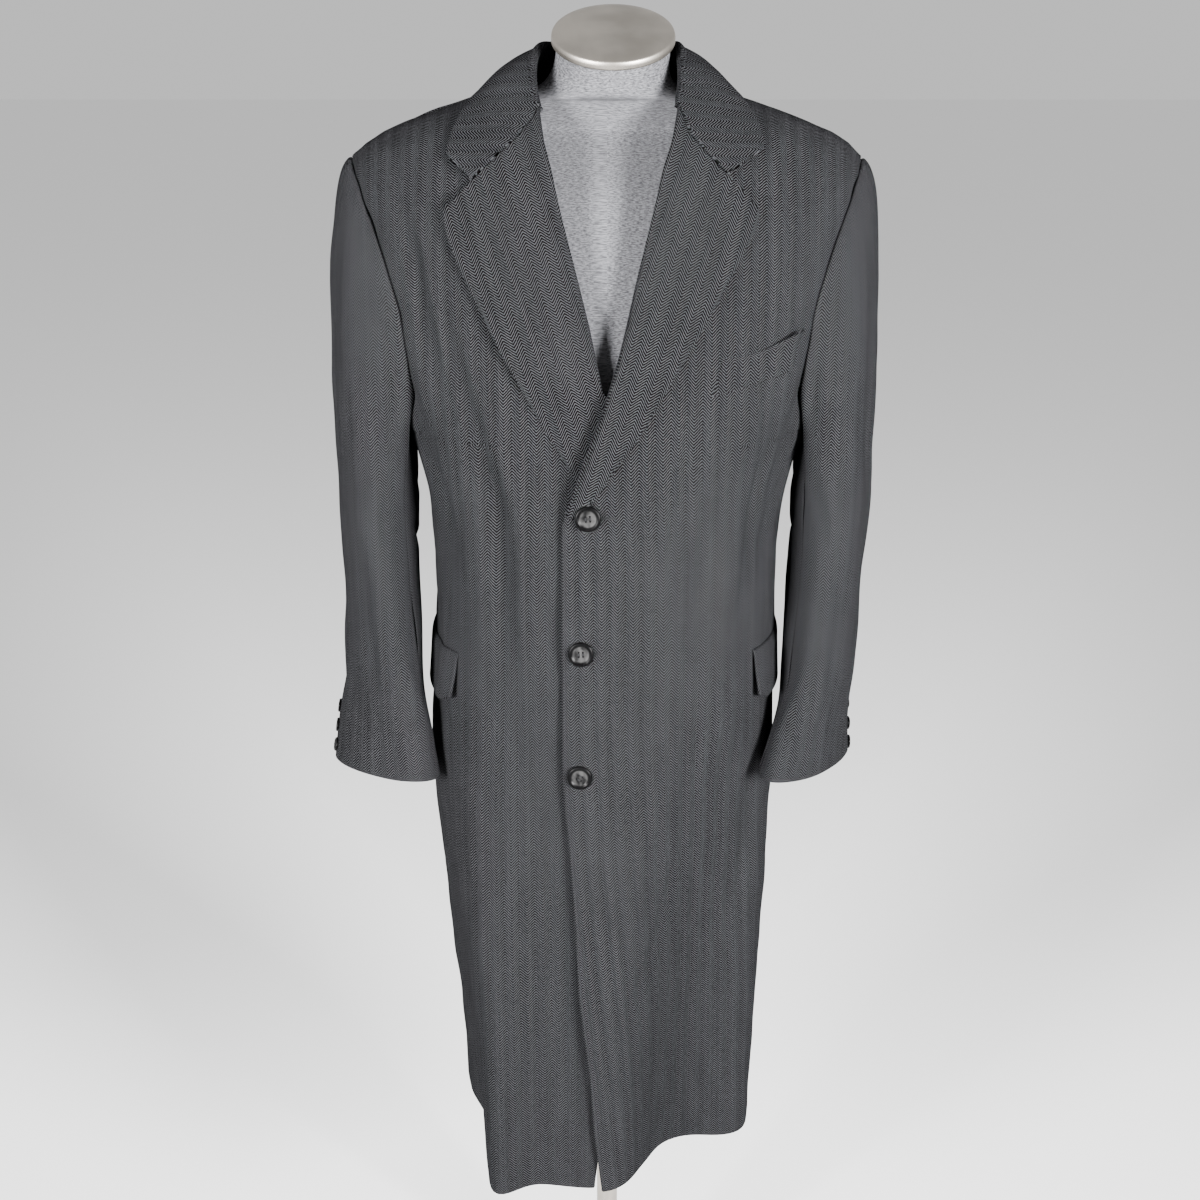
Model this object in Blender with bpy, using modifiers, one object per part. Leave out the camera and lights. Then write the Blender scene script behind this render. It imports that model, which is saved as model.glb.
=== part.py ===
"""Overcoat on a limbless dress form: a long single-breasted coat hanging open at neck, cuffs and hem.

Metres, +Z up, floor at Z = 0. The front of the coat faces -Y. The wearer's left is at +X.
Angles run round the body from the front centre, positive towards +X, so 90 degrees is the left side.
Levels are counted in rings from the hem (0) to the shoulder line (the last ring).
"""
import math

import bmesh
import bpy
from mathutils import Matrix, Vector

# Driving dimensions
WALL = 0.0024
GAP = 0.0003
LAPEL_WALL = 0.0030
FLAP_WALL = 0.0032
HEM_HEIGHT = 0.372
NECK_HALF_WIDTH = 0.088
NECK_BACK_DEPTH = 0.075
COLLAR_SHIFT = 0.004
BUTTON_DIAMETER = 0.026
BUTTON_THICKNESS = 0.0040
BUTTON_SEAT = 0.0001
CUFF_BUTTON_DIAMETER = 0.0150
CUFF_BUTTON_THICKNESS = 0.0032
CUFF_BUTTON_PITCH = 0.0156
POLE_RADIUS = 0.0125
BASE_RADIUS = 0.190
BASE_THICKNESS = 0.014

# Rings of the body, from the hem up: level is the height at the side, slope is the share of the shoulder
# slope that the ring follows, then the half widths at the wearer's right and left, the depths in front
# of and behind the shoulder plane, and the squareness of the section (2 is an ellipse).
RING_COLUMNS = ("level", "slope", "right", "left", "front", "back", "square")
BODY_RINGS = (
    (0.372, 0.00, 0.176, 0.168, 0.196, 0.205, 2.30),
    (0.500, 0.00, 0.178, 0.171, 0.192, 0.190, 2.35),
    (0.640, 0.00, 0.188, 0.176, 0.187, 0.172, 2.40),
    (0.780, 0.00, 0.195, 0.181, 0.181, 0.156, 2.40),
    (0.900, 0.00, 0.189, 0.181, 0.177, 0.144, 2.40),
    (1.020, 0.00, 0.182, 0.179, 0.172, 0.136, 2.40),
    (1.120, 0.00, 0.186, 0.184, 0.167, 0.134, 2.40),
    (1.190, 0.03, 0.203, 0.202, 0.161, 0.136, 2.40),
    (1.250, 0.10, 0.222, 0.222, 0.153, 0.137, 2.40),
    (1.310, 0.25, 0.241, 0.241, 0.140, 0.132, 2.35),
    (1.365, 0.50, 0.252, 0.252, 0.121, 0.120, 2.30),
    (1.408, 0.72, 0.257, 0.257, 0.098, 0.101, 2.20),
    (1.438, 0.88, 0.258, 0.258, 0.068, 0.073, 2.10),
    (1.453, 0.97, 0.2575, 0.2575, 0.034, 0.038, 2.00),
    (1.4574, 0.995, 0.2565, 0.2565, 0.0110, 0.0120, 2.00),
    (1.458, 1.00, 0.2560, 0.2560, 0.0003, 0.0003, 2.00),
)
TOP = len(BODY_RINGS) - 1
ARMPIT = 7.0

# Rise of the shoulder seam over its outer end, by distance from the centre
SHOULDER_RISE = ((0.000, 0.094), (0.060, 0.083), (0.090, 0.071), (0.126, 0.058), (0.163, 0.046),
                 (0.195, 0.034), (0.220, 0.0235), (0.238, 0.0130), (0.252, 0.000), (0.270, -0.020))

# Half width of the panels at the armhole and the angle of the side seam, by ring
ARMHOLE_FRONT = ((7.0, 0.2020), (7.12, 0.2000), (7.4, 0.1955), (7.8, 0.1935), (8.3, 0.1945), (9.0, 0.2000),
                 (10.0, 0.2190), (11.0, 0.2365), (12.0, 0.2465), (13.0, 0.2510), (15.0, 0.2520))
ARMHOLE_BACK = ((7.0, 0.2020), (7.12, 0.2005), (7.4, 0.1985), (7.8, 0.1990), (8.3, 0.2020), (9.0, 0.2080),
                (10.0, 0.2210), (11.0, 0.2350), (12.0, 0.2450), (13.0, 0.2510), (15.0, 0.2520))
SIDE_SEAM = ((0.0, 112.0), (4.0, 108.0), (6.0, 101.0), (7.0, 96.0))

# Edges of the fronts: distance from the centre by height
LEFT_EDGE = ((0.372, -0.004), (0.452, -0.014), (0.514, -0.018), (0.567, -0.0245), (0.617, -0.030),
             (0.711, -0.034), (0.784, -0.039), (0.826, -0.043), (0.885, -0.0450), (1.053, -0.0445),
             (1.126, -0.0435))
LEFT_ROLL = ((1.126, -0.0435), (1.157, -0.0320), (1.170, -0.0285), (1.206, -0.0160), (1.237, -0.0040),
             (1.287, 0.0112), (1.322, 0.0200), (1.356, 0.0275), (1.390, 0.0362), (1.424, 0.0450),
             (1.456, 0.0525), (1.480, 0.0610), (1.500, 0.0670), (1.514, 0.0720), (1.527, 0.0800),
             (1.540, 0.0880))
RIGHT_EDGE = ((0.372, -0.012), (0.500, 0.006), (0.640, 0.018), (0.780, 0.022), (1.230, 0.020))
RIGHT_ROLL = ((1.230, 0.0180), (1.2547, -0.0038), (1.2865, -0.0108), (1.318, -0.0177), (1.353, -0.0265),
              (1.386, -0.0352), (1.420, -0.0445), (1.456, -0.0525), (1.480, -0.0595), (1.500, -0.0650),
              (1.514, -0.0700), (1.527, -0.0780), (1.540, -0.0880))

# Large folds of the body: their side angle at the upper and lower end, the way they push, the heights of
# both ends, the depth there (out is positive) and half width, in degrees and metres.
FOLD_COLUMNS = ("angle_up", "angle_low", "heading", "top", "bottom", "depth_up", "depth_low", "half_width")
BODY_FOLDS = (
    (38.0, 34.0, 26.0, 0.98, 0.36, 0.000, -0.072, 40.0),
    (-40.0, -44.0, 0.0, 0.95, 0.36, 0.000, 0.046, 24.0),
    (-74.0, -72.0, -88.0, 0.90, 0.36, 0.000, -0.030, 34.0),
    (-34.0, -30.0, -32.0, 1.24, 0.80, -0.006, -0.002, 11.0),
    (-62.0, -58.0, -60.0, 1.30, 0.98, -0.007, -0.003, 9.0),
    (30.0, 24.0, 27.0, 1.18, 0.78, -0.006, -0.003, 11.0),
    (61.0, 58.0, 60.0, 1.30, 0.98, -0.007, -0.003, 9.0),
    (134.0, 138.0, 136.0, 1.02, 0.36, -0.004, -0.024, 15.0),
    (-132.0, -140.0, -136.0, 1.05, 0.36, -0.004, -0.020, 15.0),
    (160.0, 156.0, 158.0, 0.95, 0.36, 0.000, 0.012, 12.0),
    (-158.0, -162.0, -160.0, 0.98, 0.36, 0.000, 0.014, 12.0),
    (118.0, 122.0, 120.0, 1.32, 1.00, -0.008, -0.002, 12.0),
    (-118.0, -122.0, -120.0, 1.32, 1.00, -0.008, -0.002, 12.0),
)

# Rings of the sleeves below the armpit: height, centre outwards and forwards of the shoulder plane, half
# sizes across and along the flattened section, and its turn in degrees, front end inwards.
SLEEVE_COLUMNS = ("height", "centre_x", "centre_y", "across", "along", "turn")
SLEEVE_RINGS = {
    "right": ((1.120, 0.2390, -0.010, 0.0420, 0.083, 6.0),
              (1.020, 0.2385, -0.024, 0.0395, 0.079, 12.0),
              (0.930, 0.2370, -0.043, 0.0365, 0.073, 24.0),
              (0.880, 0.2360, -0.061, 0.0335, 0.069, 42.0),
              (0.835, 0.2340, -0.079, 0.0310, 0.066, 58.0)),
    "left": ((1.120, 0.2340, -0.010, 0.0420, 0.083, 6.0),
             (1.020, 0.2300, -0.024, 0.0395, 0.079, 8.0),
             (0.930, 0.2230, -0.045, 0.0370, 0.073, 14.0),
             (0.880, 0.2160, -0.065, 0.0340, 0.069, 28.0),
             (0.841, 0.2095, -0.084, 0.0320, 0.066, 41.0)),
}
SLEEVE_SEAM_FRONT = 0.36
SLEEVE_SEAM_HIND = 0.80
ARMPIT_GAP = 0.0020

# Lapels: share of the path where the lower end is cut, the outer edge from there to the tip, then the
# top from the fold along the gorge seam to the notch and the tip, as distance from the centre and height.
LAPELS = {
    "right": {"low_end": 0.02,
              "outer": ((0.0120, 1.2050), (-0.0287, 1.1663), (-0.0466, 1.1947), (-0.0654, 1.2245),
                        (-0.0869, 1.2668), (-0.1140, 1.3190), (-0.1366, 1.3624), (-0.1500, 1.3940),
                        (-0.1528, 1.4161)),
              "top": ((-0.0640, 1.5085), (-0.0806, 1.4868), (-0.1259, 1.4433), (-0.1528, 1.4161))},
    "left": {"low_end": 0.11,
             "outer": ((-0.0435, 1.1257), (-0.0153, 1.1491), (0.0086, 1.1828), (0.0322, 1.2149),
                       (0.0603, 1.2630), (0.0977, 1.3260), (0.1282, 1.3806), (0.1400, 1.4000),
                       (0.1421, 1.4156)),
             "top": ((0.0660, 1.5085), (0.0777, 1.4843), (0.1125, 1.4481), (0.1421, 1.4156))},
}

# Pockets: height of the upper edge, depth of the piece, and the angles of its ends
FLAP = {"right": (0.978, 0.055, -52.0, -97.0), "left": (0.980, 0.055, 53.0, 96.0)}
FLAP_STAND = 0.0085
WELT_CORNERS = ((0.1085, 1.2840), (0.1840, 1.3060), (0.1800, 1.2660), (0.1000, 1.2480))
WELT_STAND = 0.0050
WELT_DIP = 0.006

# Front buttons: distance from the centre and height
FRONT_BUTTONS = ((-0.0183, 1.1345), (-0.0256, 0.9975), (-0.0273, 0.8665))
CUFF_BUTTONS = 3
CUFF_BUTTON_TURN = 0.835
CUFF_BUTTON_LOWEST = 0.8510

# Collar: fold line and plan of the outer edge from the back centre to the front end of one half
COLLAR_FOLD = ((0.000, 0.084, 1.5660), (0.034, 0.075, 1.5660), (0.057, 0.046, 1.5655),
               (0.0680, 0.010, 1.5640), (0.0712, -0.022, 1.5520), (0.0695, -0.052, 1.5300),
               (0.0650, -0.076, 1.5120))
COLLAR_EDGE = ((0.000, 0.094), (0.048, 0.089), (0.092, 0.066), (0.116, 0.034), (0.1245, -0.004),
               (0.1390, -0.036), (0.1500, -0.060))
COLLAR_POINT = {"right": (-0.1515, 1.4634), "left": (0.1468, 1.4687)}
COLLAR_STAND = ((0.0, 0.0340), (2.0, 0.0330), (3.0, 0.0270), (4.0, 0.0110), (5.0, 0.0045), (6.0, 0.0015))
COLLAR_LEAN = ((0.0, -0.003), (1.5, 0.004), (3.0, 0.015), (4.0, 0.010), (5.0, 0.0))
COLLAR_ROWS = (0.0, 0.6, 1.2, 1.8, 2.3, 2.8, 3.3, 3.8, 4.2, 4.6, 5.0, 5.4, 5.7, 6.0)
COLLAR_LIFT = 0.0044
COLLAR_END_LIFT = 0.0082
FRONT_FOLD_RADIUS = 0.0031
COLLAR_BULGE = 0.0075
COLLAR_FLAT_END = 1.7
FOLD_RADIUS = 0.0046
LAPEL_ROLL = 0.0030
LAPEL_STAND = 0.0020

# Seams: half gap at the centre back and at the shoulder, angle left off a panel's side, place of its last
# but one column, share of a sleeve's turn left off each piece, and the gap along the gorge seam
SEAM_HALF = 0.0003
SHOULDER_HALF_GAP = 0.0004
SEAM_TRIM = 0.0026
SEAM_NEAR = 0.035
SLEEVE_TRIM = 0.0024
SLEEVE_NEAR = 0.005
GORGE_GAP = 0.0007

# Room between layers that lie loosely on each other
UNDERLAP_ROOM = 0.0026
LAPEL_ROOM = 0.0012

# Columns and rows of the pieces, which keep the chords close to the curves
FRONT_COLUMNS = 14
BACK_COLUMNS = 11
TOP_SLEEVE_COLUMNS = 11
UNDER_SLEEVE_COLUMNS = 8
LOW_LEVELS = (0.0, 0.5, 1.0, 1.5, 2.0, 2.5, 3.0, 3.5, 4.0, 4.5, 5.0, 5.5, 6.0, 6.4, 6.8, 7.0)
FRONT_LEVELS = (7.12, 7.4, 7.8, 8.3, 9.0, 9.6, 10.2, 10.8, 11.4, 12.0, 12.5, 13.0, 13.5, 14.0, 14.7, 15.0)
BACK_LEVELS = (7.12, 7.4, 7.8, 8.3, 9.0, 10.0, 11.0, 11.7, 12.2, 12.6, 13.0, 13.5, 14.0, 14.7, 15.0)
SLEEVE_PLACES = (-1.0, -0.985, -0.95, -0.88, -0.78, -0.65, -0.5, -0.35, -0.18,
                 0.0, 0.5, 1.0, 1.5, 2.0, 2.5, 3.0, 3.5, 4.0)
LAPEL_ROWS = 17
LAPEL_PLACES = (0.0, 0.06, 0.2, 0.4, 0.6, 0.8, 1.0)
FLAP_COLUMNS = 9
FLAP_PLACES = (1.0, 0.93, 0.6, 0.3, 0.0)
WELT_COLUMNS = 8
WELT_PLACES = (1.0, 0.66, 0.33, 0.0)
FALL_PLACES = (0.25, 0.5, 0.75, 1.0)
FORM_STEPS = 26

# Rings of the dress form: height, half width, depth in front and behind, and the share of the cap's tilt
FORM_COLUMNS = ("height", "half", "front", "back", "tilt")
FORM_RINGS = (
    (0.7420, 0.1200, 0.085, 0.075, 0.0),
    (0.7500, 0.1460, 0.108, 0.096, 0.0),
    (0.7750, 0.1600, 0.120, 0.106, 0.0),
    (0.8600, 0.1630, 0.122, 0.108, 0.0),
    (0.9600, 0.1500, 0.115, 0.098, 0.0),
    (1.0400, 0.1420, 0.111, 0.092, 0.0),
    (1.1300, 0.1520, 0.120, 0.100, 0.0),
    (1.2200, 0.1680, 0.127, 0.110, 0.0),
    (1.3000, 0.1820, 0.122, 0.112, 0.0),
    (1.3700, 0.1930, 0.103, 0.104, 0.0),
    (1.4200, 0.1990, 0.078, 0.084, 0.0),
    (1.4530, 0.2005, 0.052, 0.058, 0.0),
    (1.4740, 0.1990, 0.034, 0.040, 0.0),
    (1.4843, 0.1960, 0.027, 0.033, 0.0),
    (1.4922, 0.1850, 0.029, 0.035, 0.0),
    (1.5021, 0.1590, 0.034, 0.041, 0.0),
    (1.5118, 0.1270, 0.041, 0.048, 0.0),
    (1.5155, 0.0960, 0.046, 0.053, 0.05),
    (1.5205, 0.0760, 0.050, 0.055, 0.15),
    (1.5290, 0.0620, 0.052, 0.054, 0.3),
    (1.5450, 0.0560, 0.053, 0.053, 0.6),
    (1.5660, 0.0555, 0.053, 0.053, 1.0),
)
FORM_SQUARE = 2.1
NECK_TOP = (0.006, -0.004, 1.5660)
CAP_TILT = 26.0

# Profiles as radius and height, down the outer side: the cap over its seat, then the pole and its flange
# below the form, and the base over the floor
CAP_PROFILE = ((0.0, 0.0120), (0.030, 0.0118), (0.052, 0.0104), (0.0585, 0.0082), (0.0600, 0.0050),
               (0.0600, 0.0012), (0.0588, 0.0), (0.0, 0.0))
FLANGE_RADIUS = 0.034
FLANGE_THICKNESS = 0.005
SOCKET_HEIGHT = 0.026
SOCKET_RADIUS = 0.0195
STAND_DEPTH = 0.010


def clear_scene():
    for thing in list(bpy.data.objects):
        bpy.data.objects.remove(thing)


def material(name, colour, roughness, metallic=0.0):
    shade = bpy.data.materials.new(name)
    shade.use_nodes = True
    socket = shade.node_tree.nodes["Principled BSDF"].inputs
    socket["Base Color"].default_value = (*colour, 1.0)
    socket["Roughness"].default_value = roughness
    socket["Metallic"].default_value = metallic
    return shade


def smooth_step(low, high, value):
    share = min(1.0, max(0.0, (value - low) / (high - low)))
    return share * share * (3.0 - 2.0 * share)


def along(table, where):
    """Value of a table of pairs at a place, straight between its rows."""
    if where <= table[0][0]:
        return table[0][1]
    for (low, first), (high, second) in zip(table, table[1:]):
        if where <= high:
            return first + (second - first) * (where - low) / (high - low)
    return table[-1][1]


def spline(rows, where):
    """Row of a table at a fractional place, on a smooth curve through its rows."""
    last = len(rows) - 1
    index = min(int(max(where, 0.0)), last - 1)
    part = min(max(where, 0.0), last) - index
    before = rows[max(index - 1, 0)]
    after = rows[min(index + 2, last)]
    result = []
    for p0, p1, p2, p3 in zip(before, rows[index], rows[index + 1], after):
        slope_in = (p2 - p0) / 2.0
        slope_out = (p3 - p1) / 2.0
        square = part * part
        cube = square * part
        result.append(p1 * (2 * cube - 3 * square + 1) + slope_in * (cube - 2 * square + part)
                      + p2 * (3 * square - 2 * cube) + slope_out * (cube - square))
    return result


def path_point(points, share):
    """Point at a share of a path's length, straight between its corners."""
    corners = [Vector(point) for point in points]
    lengths = [(b - a).length for a, b in zip(corners, corners[1:])]
    rest = share * sum(lengths)
    for a, b, length in zip(corners, corners[1:], lengths):
        if rest <= length:
            return a.lerp(b, rest / length)
        rest -= length
    return corners[-1]


def fold_push(angle, height):
    """Push of the large folds at an angle in degrees and a height."""
    total = Vector((0.0, 0.0, 0.0))
    for row in BODY_FOLDS:
        fold = dict(zip(FOLD_COLUMNS, row))
        run = (fold["top"] - height) / (fold["top"] - fold["bottom"])
        if run <= 0.0 or run >= 1.06:
            continue
        centre = fold["angle_up"] + (fold["angle_low"] - fold["angle_up"]) * run
        offset = abs(angle - centre) / fold["half_width"]
        if offset >= 1.0:
            continue
        ends = smooth_step(0.0, 0.25, run)
        if fold["bottom"] > HEM_HEIGHT:
            ends *= 1.0 - smooth_step(0.7, 1.0, run)
        depth = fold["depth_up"] + (fold["depth_low"] - fold["depth_up"]) * run
        heading = math.radians(fold["heading"])
        push = depth * ends * (0.5 + 0.5 * math.cos(math.pi * offset))
        total += Vector((math.sin(heading), -math.cos(heading), 0.0)) * push
    return total


def ring_at(level):
    ring = dict(zip(RING_COLUMNS, spline(BODY_RINGS, level)))
    ring["front"] = max(ring["front"], 0.0003)
    ring["back"] = max(ring["back"], 0.0003)
    return ring


def body_point(angle, level):
    """Outer face of the body at an angle in radians and a ring number."""
    ring = ring_at(level)
    sine = math.sin(angle)
    cosine = math.cos(angle)
    width = ring["left"] if sine > 0.0 else ring["right"]
    depth = ring["front"] if cosine > 0.0 else ring["back"]
    power = 2.0 / ring["square"]
    x = math.copysign(width * abs(sine) ** power, sine)
    y = -math.copysign(depth * abs(cosine) ** power, cosine)
    height = ring["level"] + ring["slope"] * along(SHOULDER_RISE, abs(x))
    return Vector((x, y, height)) + fold_push(math.degrees(angle), height)


def body_normal(angle, level):
    step = 0.02
    low = max(0.0, level - step)
    high = min(TOP - 0.02, level + step)
    if high <= low:
        low = high - step
    across = body_point(angle + step, level) - body_point(angle - step, level)
    upward = body_point(angle, high) - body_point(angle, low)
    return across.cross(upward).normalized()


def lifted(angle, level, lift):
    return body_point(angle, level) + body_normal(angle, level) * lift


def angle_at(x, level, behind=False):
    ring = ring_at(level)
    width = ring["left"] if x > 0.0 else ring["right"]
    share = min(1.0, abs(x) / width) ** (ring["square"] / 2.0)
    angle = math.asin(share)
    if behind:
        angle = math.pi - angle
    return math.copysign(angle, x)


def level_at(x, height):
    low = 0.0
    high = float(TOP)
    for _ in range(30):
        middle = (low + high) / 2.0
        ring = ring_at(middle)
        if ring["level"] + ring["slope"] * along(SHOULDER_RISE, abs(x)) < height:
            low = middle
        else:
            high = middle
    return (low + high) / 2.0


def on_front(x, height, lift):
    """Point of the front's outer face at a distance from the centre and a height, moved out."""
    level = level_at(x, height)
    return lifted(angle_at(x, level), level, lift)


def grid(mesh, rows, flip=False, closed=False):
    """Faces through rows of points, joined round where the rows are closed."""
    lines = [[mesh.verts.new(point) for point in row] for row in rows]
    for low, high in zip(lines, lines[1:]):
        count = len(low)
        for index in range(count if closed else count - 1):
            after = (index + 1) % count
            corners = [low[index], low[after], high[after], high[index]]
            mesh.faces.new(reversed(corners) if flip else corners)
    return lines


def cloth_object(name, rows, shade, wall, flip):
    """Open surface through rows of points, made a wall inwards from its outer face."""
    mesh = bmesh.new()
    grid(mesh, rows, flip)
    return mesh_object(name, mesh, shade, wall)


def mesh_object(name, mesh, shade, wall=0.0):
    data = bpy.data.meshes.new(name)
    mesh.to_mesh(data)
    mesh.free()
    data.materials.append(shade)
    data.shade_smooth()
    thing = bpy.data.objects.new(name, data)
    COLLECTION.objects.link(thing)
    if wall > 0.0:
        solidify = thing.modifiers.new("Wall", "SOLIDIFY")
        solidify.thickness = wall
        solidify.offset = -1.0
    return thing


def even(count):
    """Even shares from 0 to 1."""
    return [index / (count - 1) for index in range(count)]


def spread(start, stop, count, near_start=0.0, near_stop=0.0):
    """Even places from start to stop, with one more place close to an end where that is asked."""
    places = [start + (stop - start) * share for share in even(count)]
    if near_stop:
        places.insert(len(places) - 1, stop - math.copysign(near_stop, stop - start))
    if near_start:
        places.insert(1, start + math.copysign(near_start, stop - start))
    return places


def panel_end(level, behind):
    """Angle of a panel's side end: the side seam, and the armhole above the armpit."""
    seam = math.radians(along(SIDE_SEAM, min(level, ARMPIT)))
    if level <= ARMPIT:
        return seam
    table = ARMHOLE_BACK if behind else ARMHOLE_FRONT
    ring = ring_at(level)
    share = min(1.0, along(table, level) / ring["left"]) ** (ring["square"] / 2.0)
    angle = math.asin(share)
    if behind:
        angle = math.pi - angle
    blend = smooth_step(ARMPIT, ARMPIT + 0.15, level)
    return seam + (angle - seam) * blend


def panel_start(level, edge, roll):
    """Distance from the centre where a front begins: its edge below the roll, the roll line above."""
    ring = ring_at(level)
    table = edge[:-1] + roll if edge[-1][0] > roll[0][0] else edge + roll[1:]
    x = along(table, ring["level"])
    for _ in range(8):
        x = along(table, ring["level"] + ring["slope"] * along(SHOULDER_RISE, abs(x)))
    return x


def recess(x, height):
    """How far the right front lies in under the left one, with room there for its own lapel."""
    under = smooth_step(-0.115, -0.060, x) * (WALL + UNDERLAP_ROOM)
    for_lapel = smooth_step(1.08, 1.13, height) * (1.0 - smooth_step(1.27, 1.32, height))
    return under + smooth_step(-0.100, -0.048, x) * for_lapel * (LAPEL_WALL + LAPEL_ROOM)


def shoulder_gap(level):
    """Shift of a panel's upper rows away from the shoulder seam."""
    return Vector((0.0, SHOULDER_HALF_GAP * smooth_step(13.0, TOP, level), 0.0))


def make_front(side, shade):
    sign = 1.0 if side == "left" else -1.0
    edge = LEFT_EDGE if side == "left" else RIGHT_EDGE
    roll = LEFT_ROLL if side == "left" else RIGHT_ROLL
    rows = []
    for level in LOW_LEVELS + FRONT_LEVELS:
        start = angle_at(panel_start(level, edge, roll), level)
        stop = sign * (panel_end(level, False) - SEAM_TRIM)
        row = []
        for angle in spread(start, stop, FRONT_COLUMNS, near_stop=SEAM_NEAR):
            point = body_point(angle, level)
            inwards = recess(point.x, point.z) if side == "right" else 0.0
            row.append(lifted(angle, level, -inwards) - shoulder_gap(level))
        rows.append(row)
    return cloth_object("front_" + side, rows, shade, WALL, flip=sign < 0.0)


def back_start(level):
    """Distance from the centre where a back begins: the centre seam, and the neckline above it."""
    depth = ring_at(level)["back"]
    if depth >= NECK_BACK_DEPTH or level < ARMPIT:
        return SEAM_HALF
    return max(SEAM_HALF, NECK_HALF_WIDTH * math.sqrt(1.0 - (depth / NECK_BACK_DEPTH) ** 2))


def make_back(side, shade):
    sign = 1.0 if side == "left" else -1.0
    rows = []
    for level in LOW_LEVELS + BACK_LEVELS:
        start = sign * abs(angle_at(back_start(level), level, behind=True))
        stop = sign * (panel_end(level, True) + SEAM_TRIM)
        places = spread(start, stop, BACK_COLUMNS, near_stop=SEAM_NEAR)
        rows.append([body_point(angle, level) + shoulder_gap(level) for angle in places])
    return cloth_object("back_" + side, rows, shade, WALL, flip=sign > 0.0)


def make_lapel(side, shade):
    sign = 1.0 if side == "left" else -1.0
    roll = [Vector((x, z)) for z, x in (LEFT_ROLL if side == "left" else RIGHT_ROLL) if z < 1.5]
    top = LAPELS[side]["top"]
    roll.append(Vector(top[0]))
    outer = LAPELS[side]["outer"]
    rows = []
    for share in spread(LAPELS[side]["low_end"], 1.0, LAPEL_ROWS):
        inner_point = path_point(roll, share)
        outer_point = path_point(outer, share)
        row = []
        for place in LAPEL_PLACES:
            flat = inner_point.lerp(outer_point, place)
            chord = roll[-1].lerp(Vector(outer[-1]), place)
            flat += (path_point(top, place) - chord) * share ** 5
            puff = LAPEL_ROLL * math.exp(-(place / 0.12) ** 2) + LAPEL_STAND * place ** 3
            lift = LAPEL_WALL + 2.0 * GAP
            if side == "right":
                lift -= recess(flat.x, flat.y)
                puff *= smooth_step(1.22, 1.30, flat.y)
            lift += puff
            row.append(on_front(flat.x, flat.y, lift))
        rows.append(row)
    return cloth_object("lapel_" + side, rows, shade, LAPEL_WALL, flip=sign < 0.0)


def shoulder_point(x, y, lift):
    """Point of the outer face at a plan position near the shoulder or the back of the neck."""
    low = ARMPIT
    high = float(TOP)
    behind = y > 0.0
    for _ in range(30):
        middle = (low + high) / 2.0
        here = body_point(angle_at(x, middle, behind), middle)
        if abs(here.y) > abs(y):
            low = middle
        else:
            high = middle
    return lifted(angle_at(x, high, behind), high, lift)


def collar_line(table, side, place):
    x, y, z = spline(table, place)
    sign = 1.0 if side == "left" else -1.0
    shift = COLLAR_SHIFT * min(1.0, x / 0.06) * (1.0 - smooth_step(2.5, 4.0, place))
    return Vector((sign * x + shift, y, z))


def collar_row(side, place):
    """Section of the collar from the foot of its stand over the fold to the edge of its fall."""
    sign = 1.0 if side == "left" else -1.0
    last = len(COLLAR_FOLD) - 1
    top = LAPELS[side]["top"]
    front_share = smooth_step(last - 2.2, last, place)
    fold = collar_line(COLLAR_FOLD, side, min(place, last - 0.001))
    end = on_front(top[0][0] + sign * GORGE_GAP, top[0][1] + GORGE_GAP, COLLAR_END_LIFT)
    fold = fold.lerp(end, smooth_step(last - 1.0, last, place))
    plan = spline(COLLAR_EDGE, place)
    edge = shoulder_point(sign * plan[0], plan[1], COLLAR_LIFT)
    point = COLLAR_POINT[side]
    tip = on_front(point[0], point[1], COLLAR_LIFT + LAPEL_STAND)
    edge = edge.lerp(tip, smooth_step(last - 1.0, last, place))
    outward = Vector((fold.x - COLLAR_SHIFT, fold.y - 0.012 + 0.05 * front_share, 0.0)).normalized()
    upward = Vector((0.0, 0.0, 1.0)).lerp(Vector((0.0, -0.55, 0.83)), front_share).normalized()
    radius = FOLD_RADIUS + (FRONT_FOLD_RADIUS - FOLD_RADIUS) * front_share
    inner = fold - outward * radius - upward * radius
    outer = fold + outward * radius - upward * radius
    stand = along(COLLAR_STAND, place)
    lean = along(COLLAR_LEAN, place)
    foot = inner - upward * stand + outward * lean
    outer = above_body(outer, COLLAR_LIFT)
    row = [foot, foot.lerp(inner, 0.5), inner, fold, outer]
    corner = [Vector((x, z)) for x, z in (top[0], top[1], top[2])] + [Vector(point)]
    flat_share = smooth_step(last - COLLAR_FLAT_END, last, place)
    weight = flat_share ** 1.5
    for step in FALL_PLACES:
        bulge = COLLAR_BULGE * math.sin(math.pi * step) * (1.0 - flat_share)
        here = outer.lerp(edge, step) + upward * bulge
        flat = path_point(corner, step)
        end_here = on_front(flat.x + sign * GORGE_GAP, flat.y + GORGE_GAP, COLLAR_LIFT)
        straight = end.lerp(on_front(point[0], point[1], COLLAR_LIFT), step)
        here += (end_here - straight) * weight
        row.append(above_body(here, COLLAR_LIFT))
    return row


def above_body(point, lift):
    """The point itself, or the nearest one that clears the panels below by the lift."""
    if abs(point.y) < 0.001:
        return point
    surface = shoulder_point(point.x, point.y, 0.0)
    raised = shoulder_point(point.x, point.y, lift)
    least = (raised - surface).length ** 2 / max(raised.z - surface.z, 0.0008)
    if point.z - surface.z < least:
        return Vector((point.x, point.y, surface.z + least))
    return point


def make_collar(shade):
    right = [collar_row("right", place) for place in reversed(COLLAR_ROWS[1:])]
    left = [collar_row("left", place) for place in COLLAR_ROWS]
    return cloth_object("collar", right + left, shade, WALL, flip=True)


def armhole_path(side, behind):
    sign = 1.0 if side == "left" else -1.0
    path = []
    for level in spread(TOP, ARMPIT, 57):
        path.append(body_point(sign * panel_end(level, behind), level))
    return path


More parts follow.
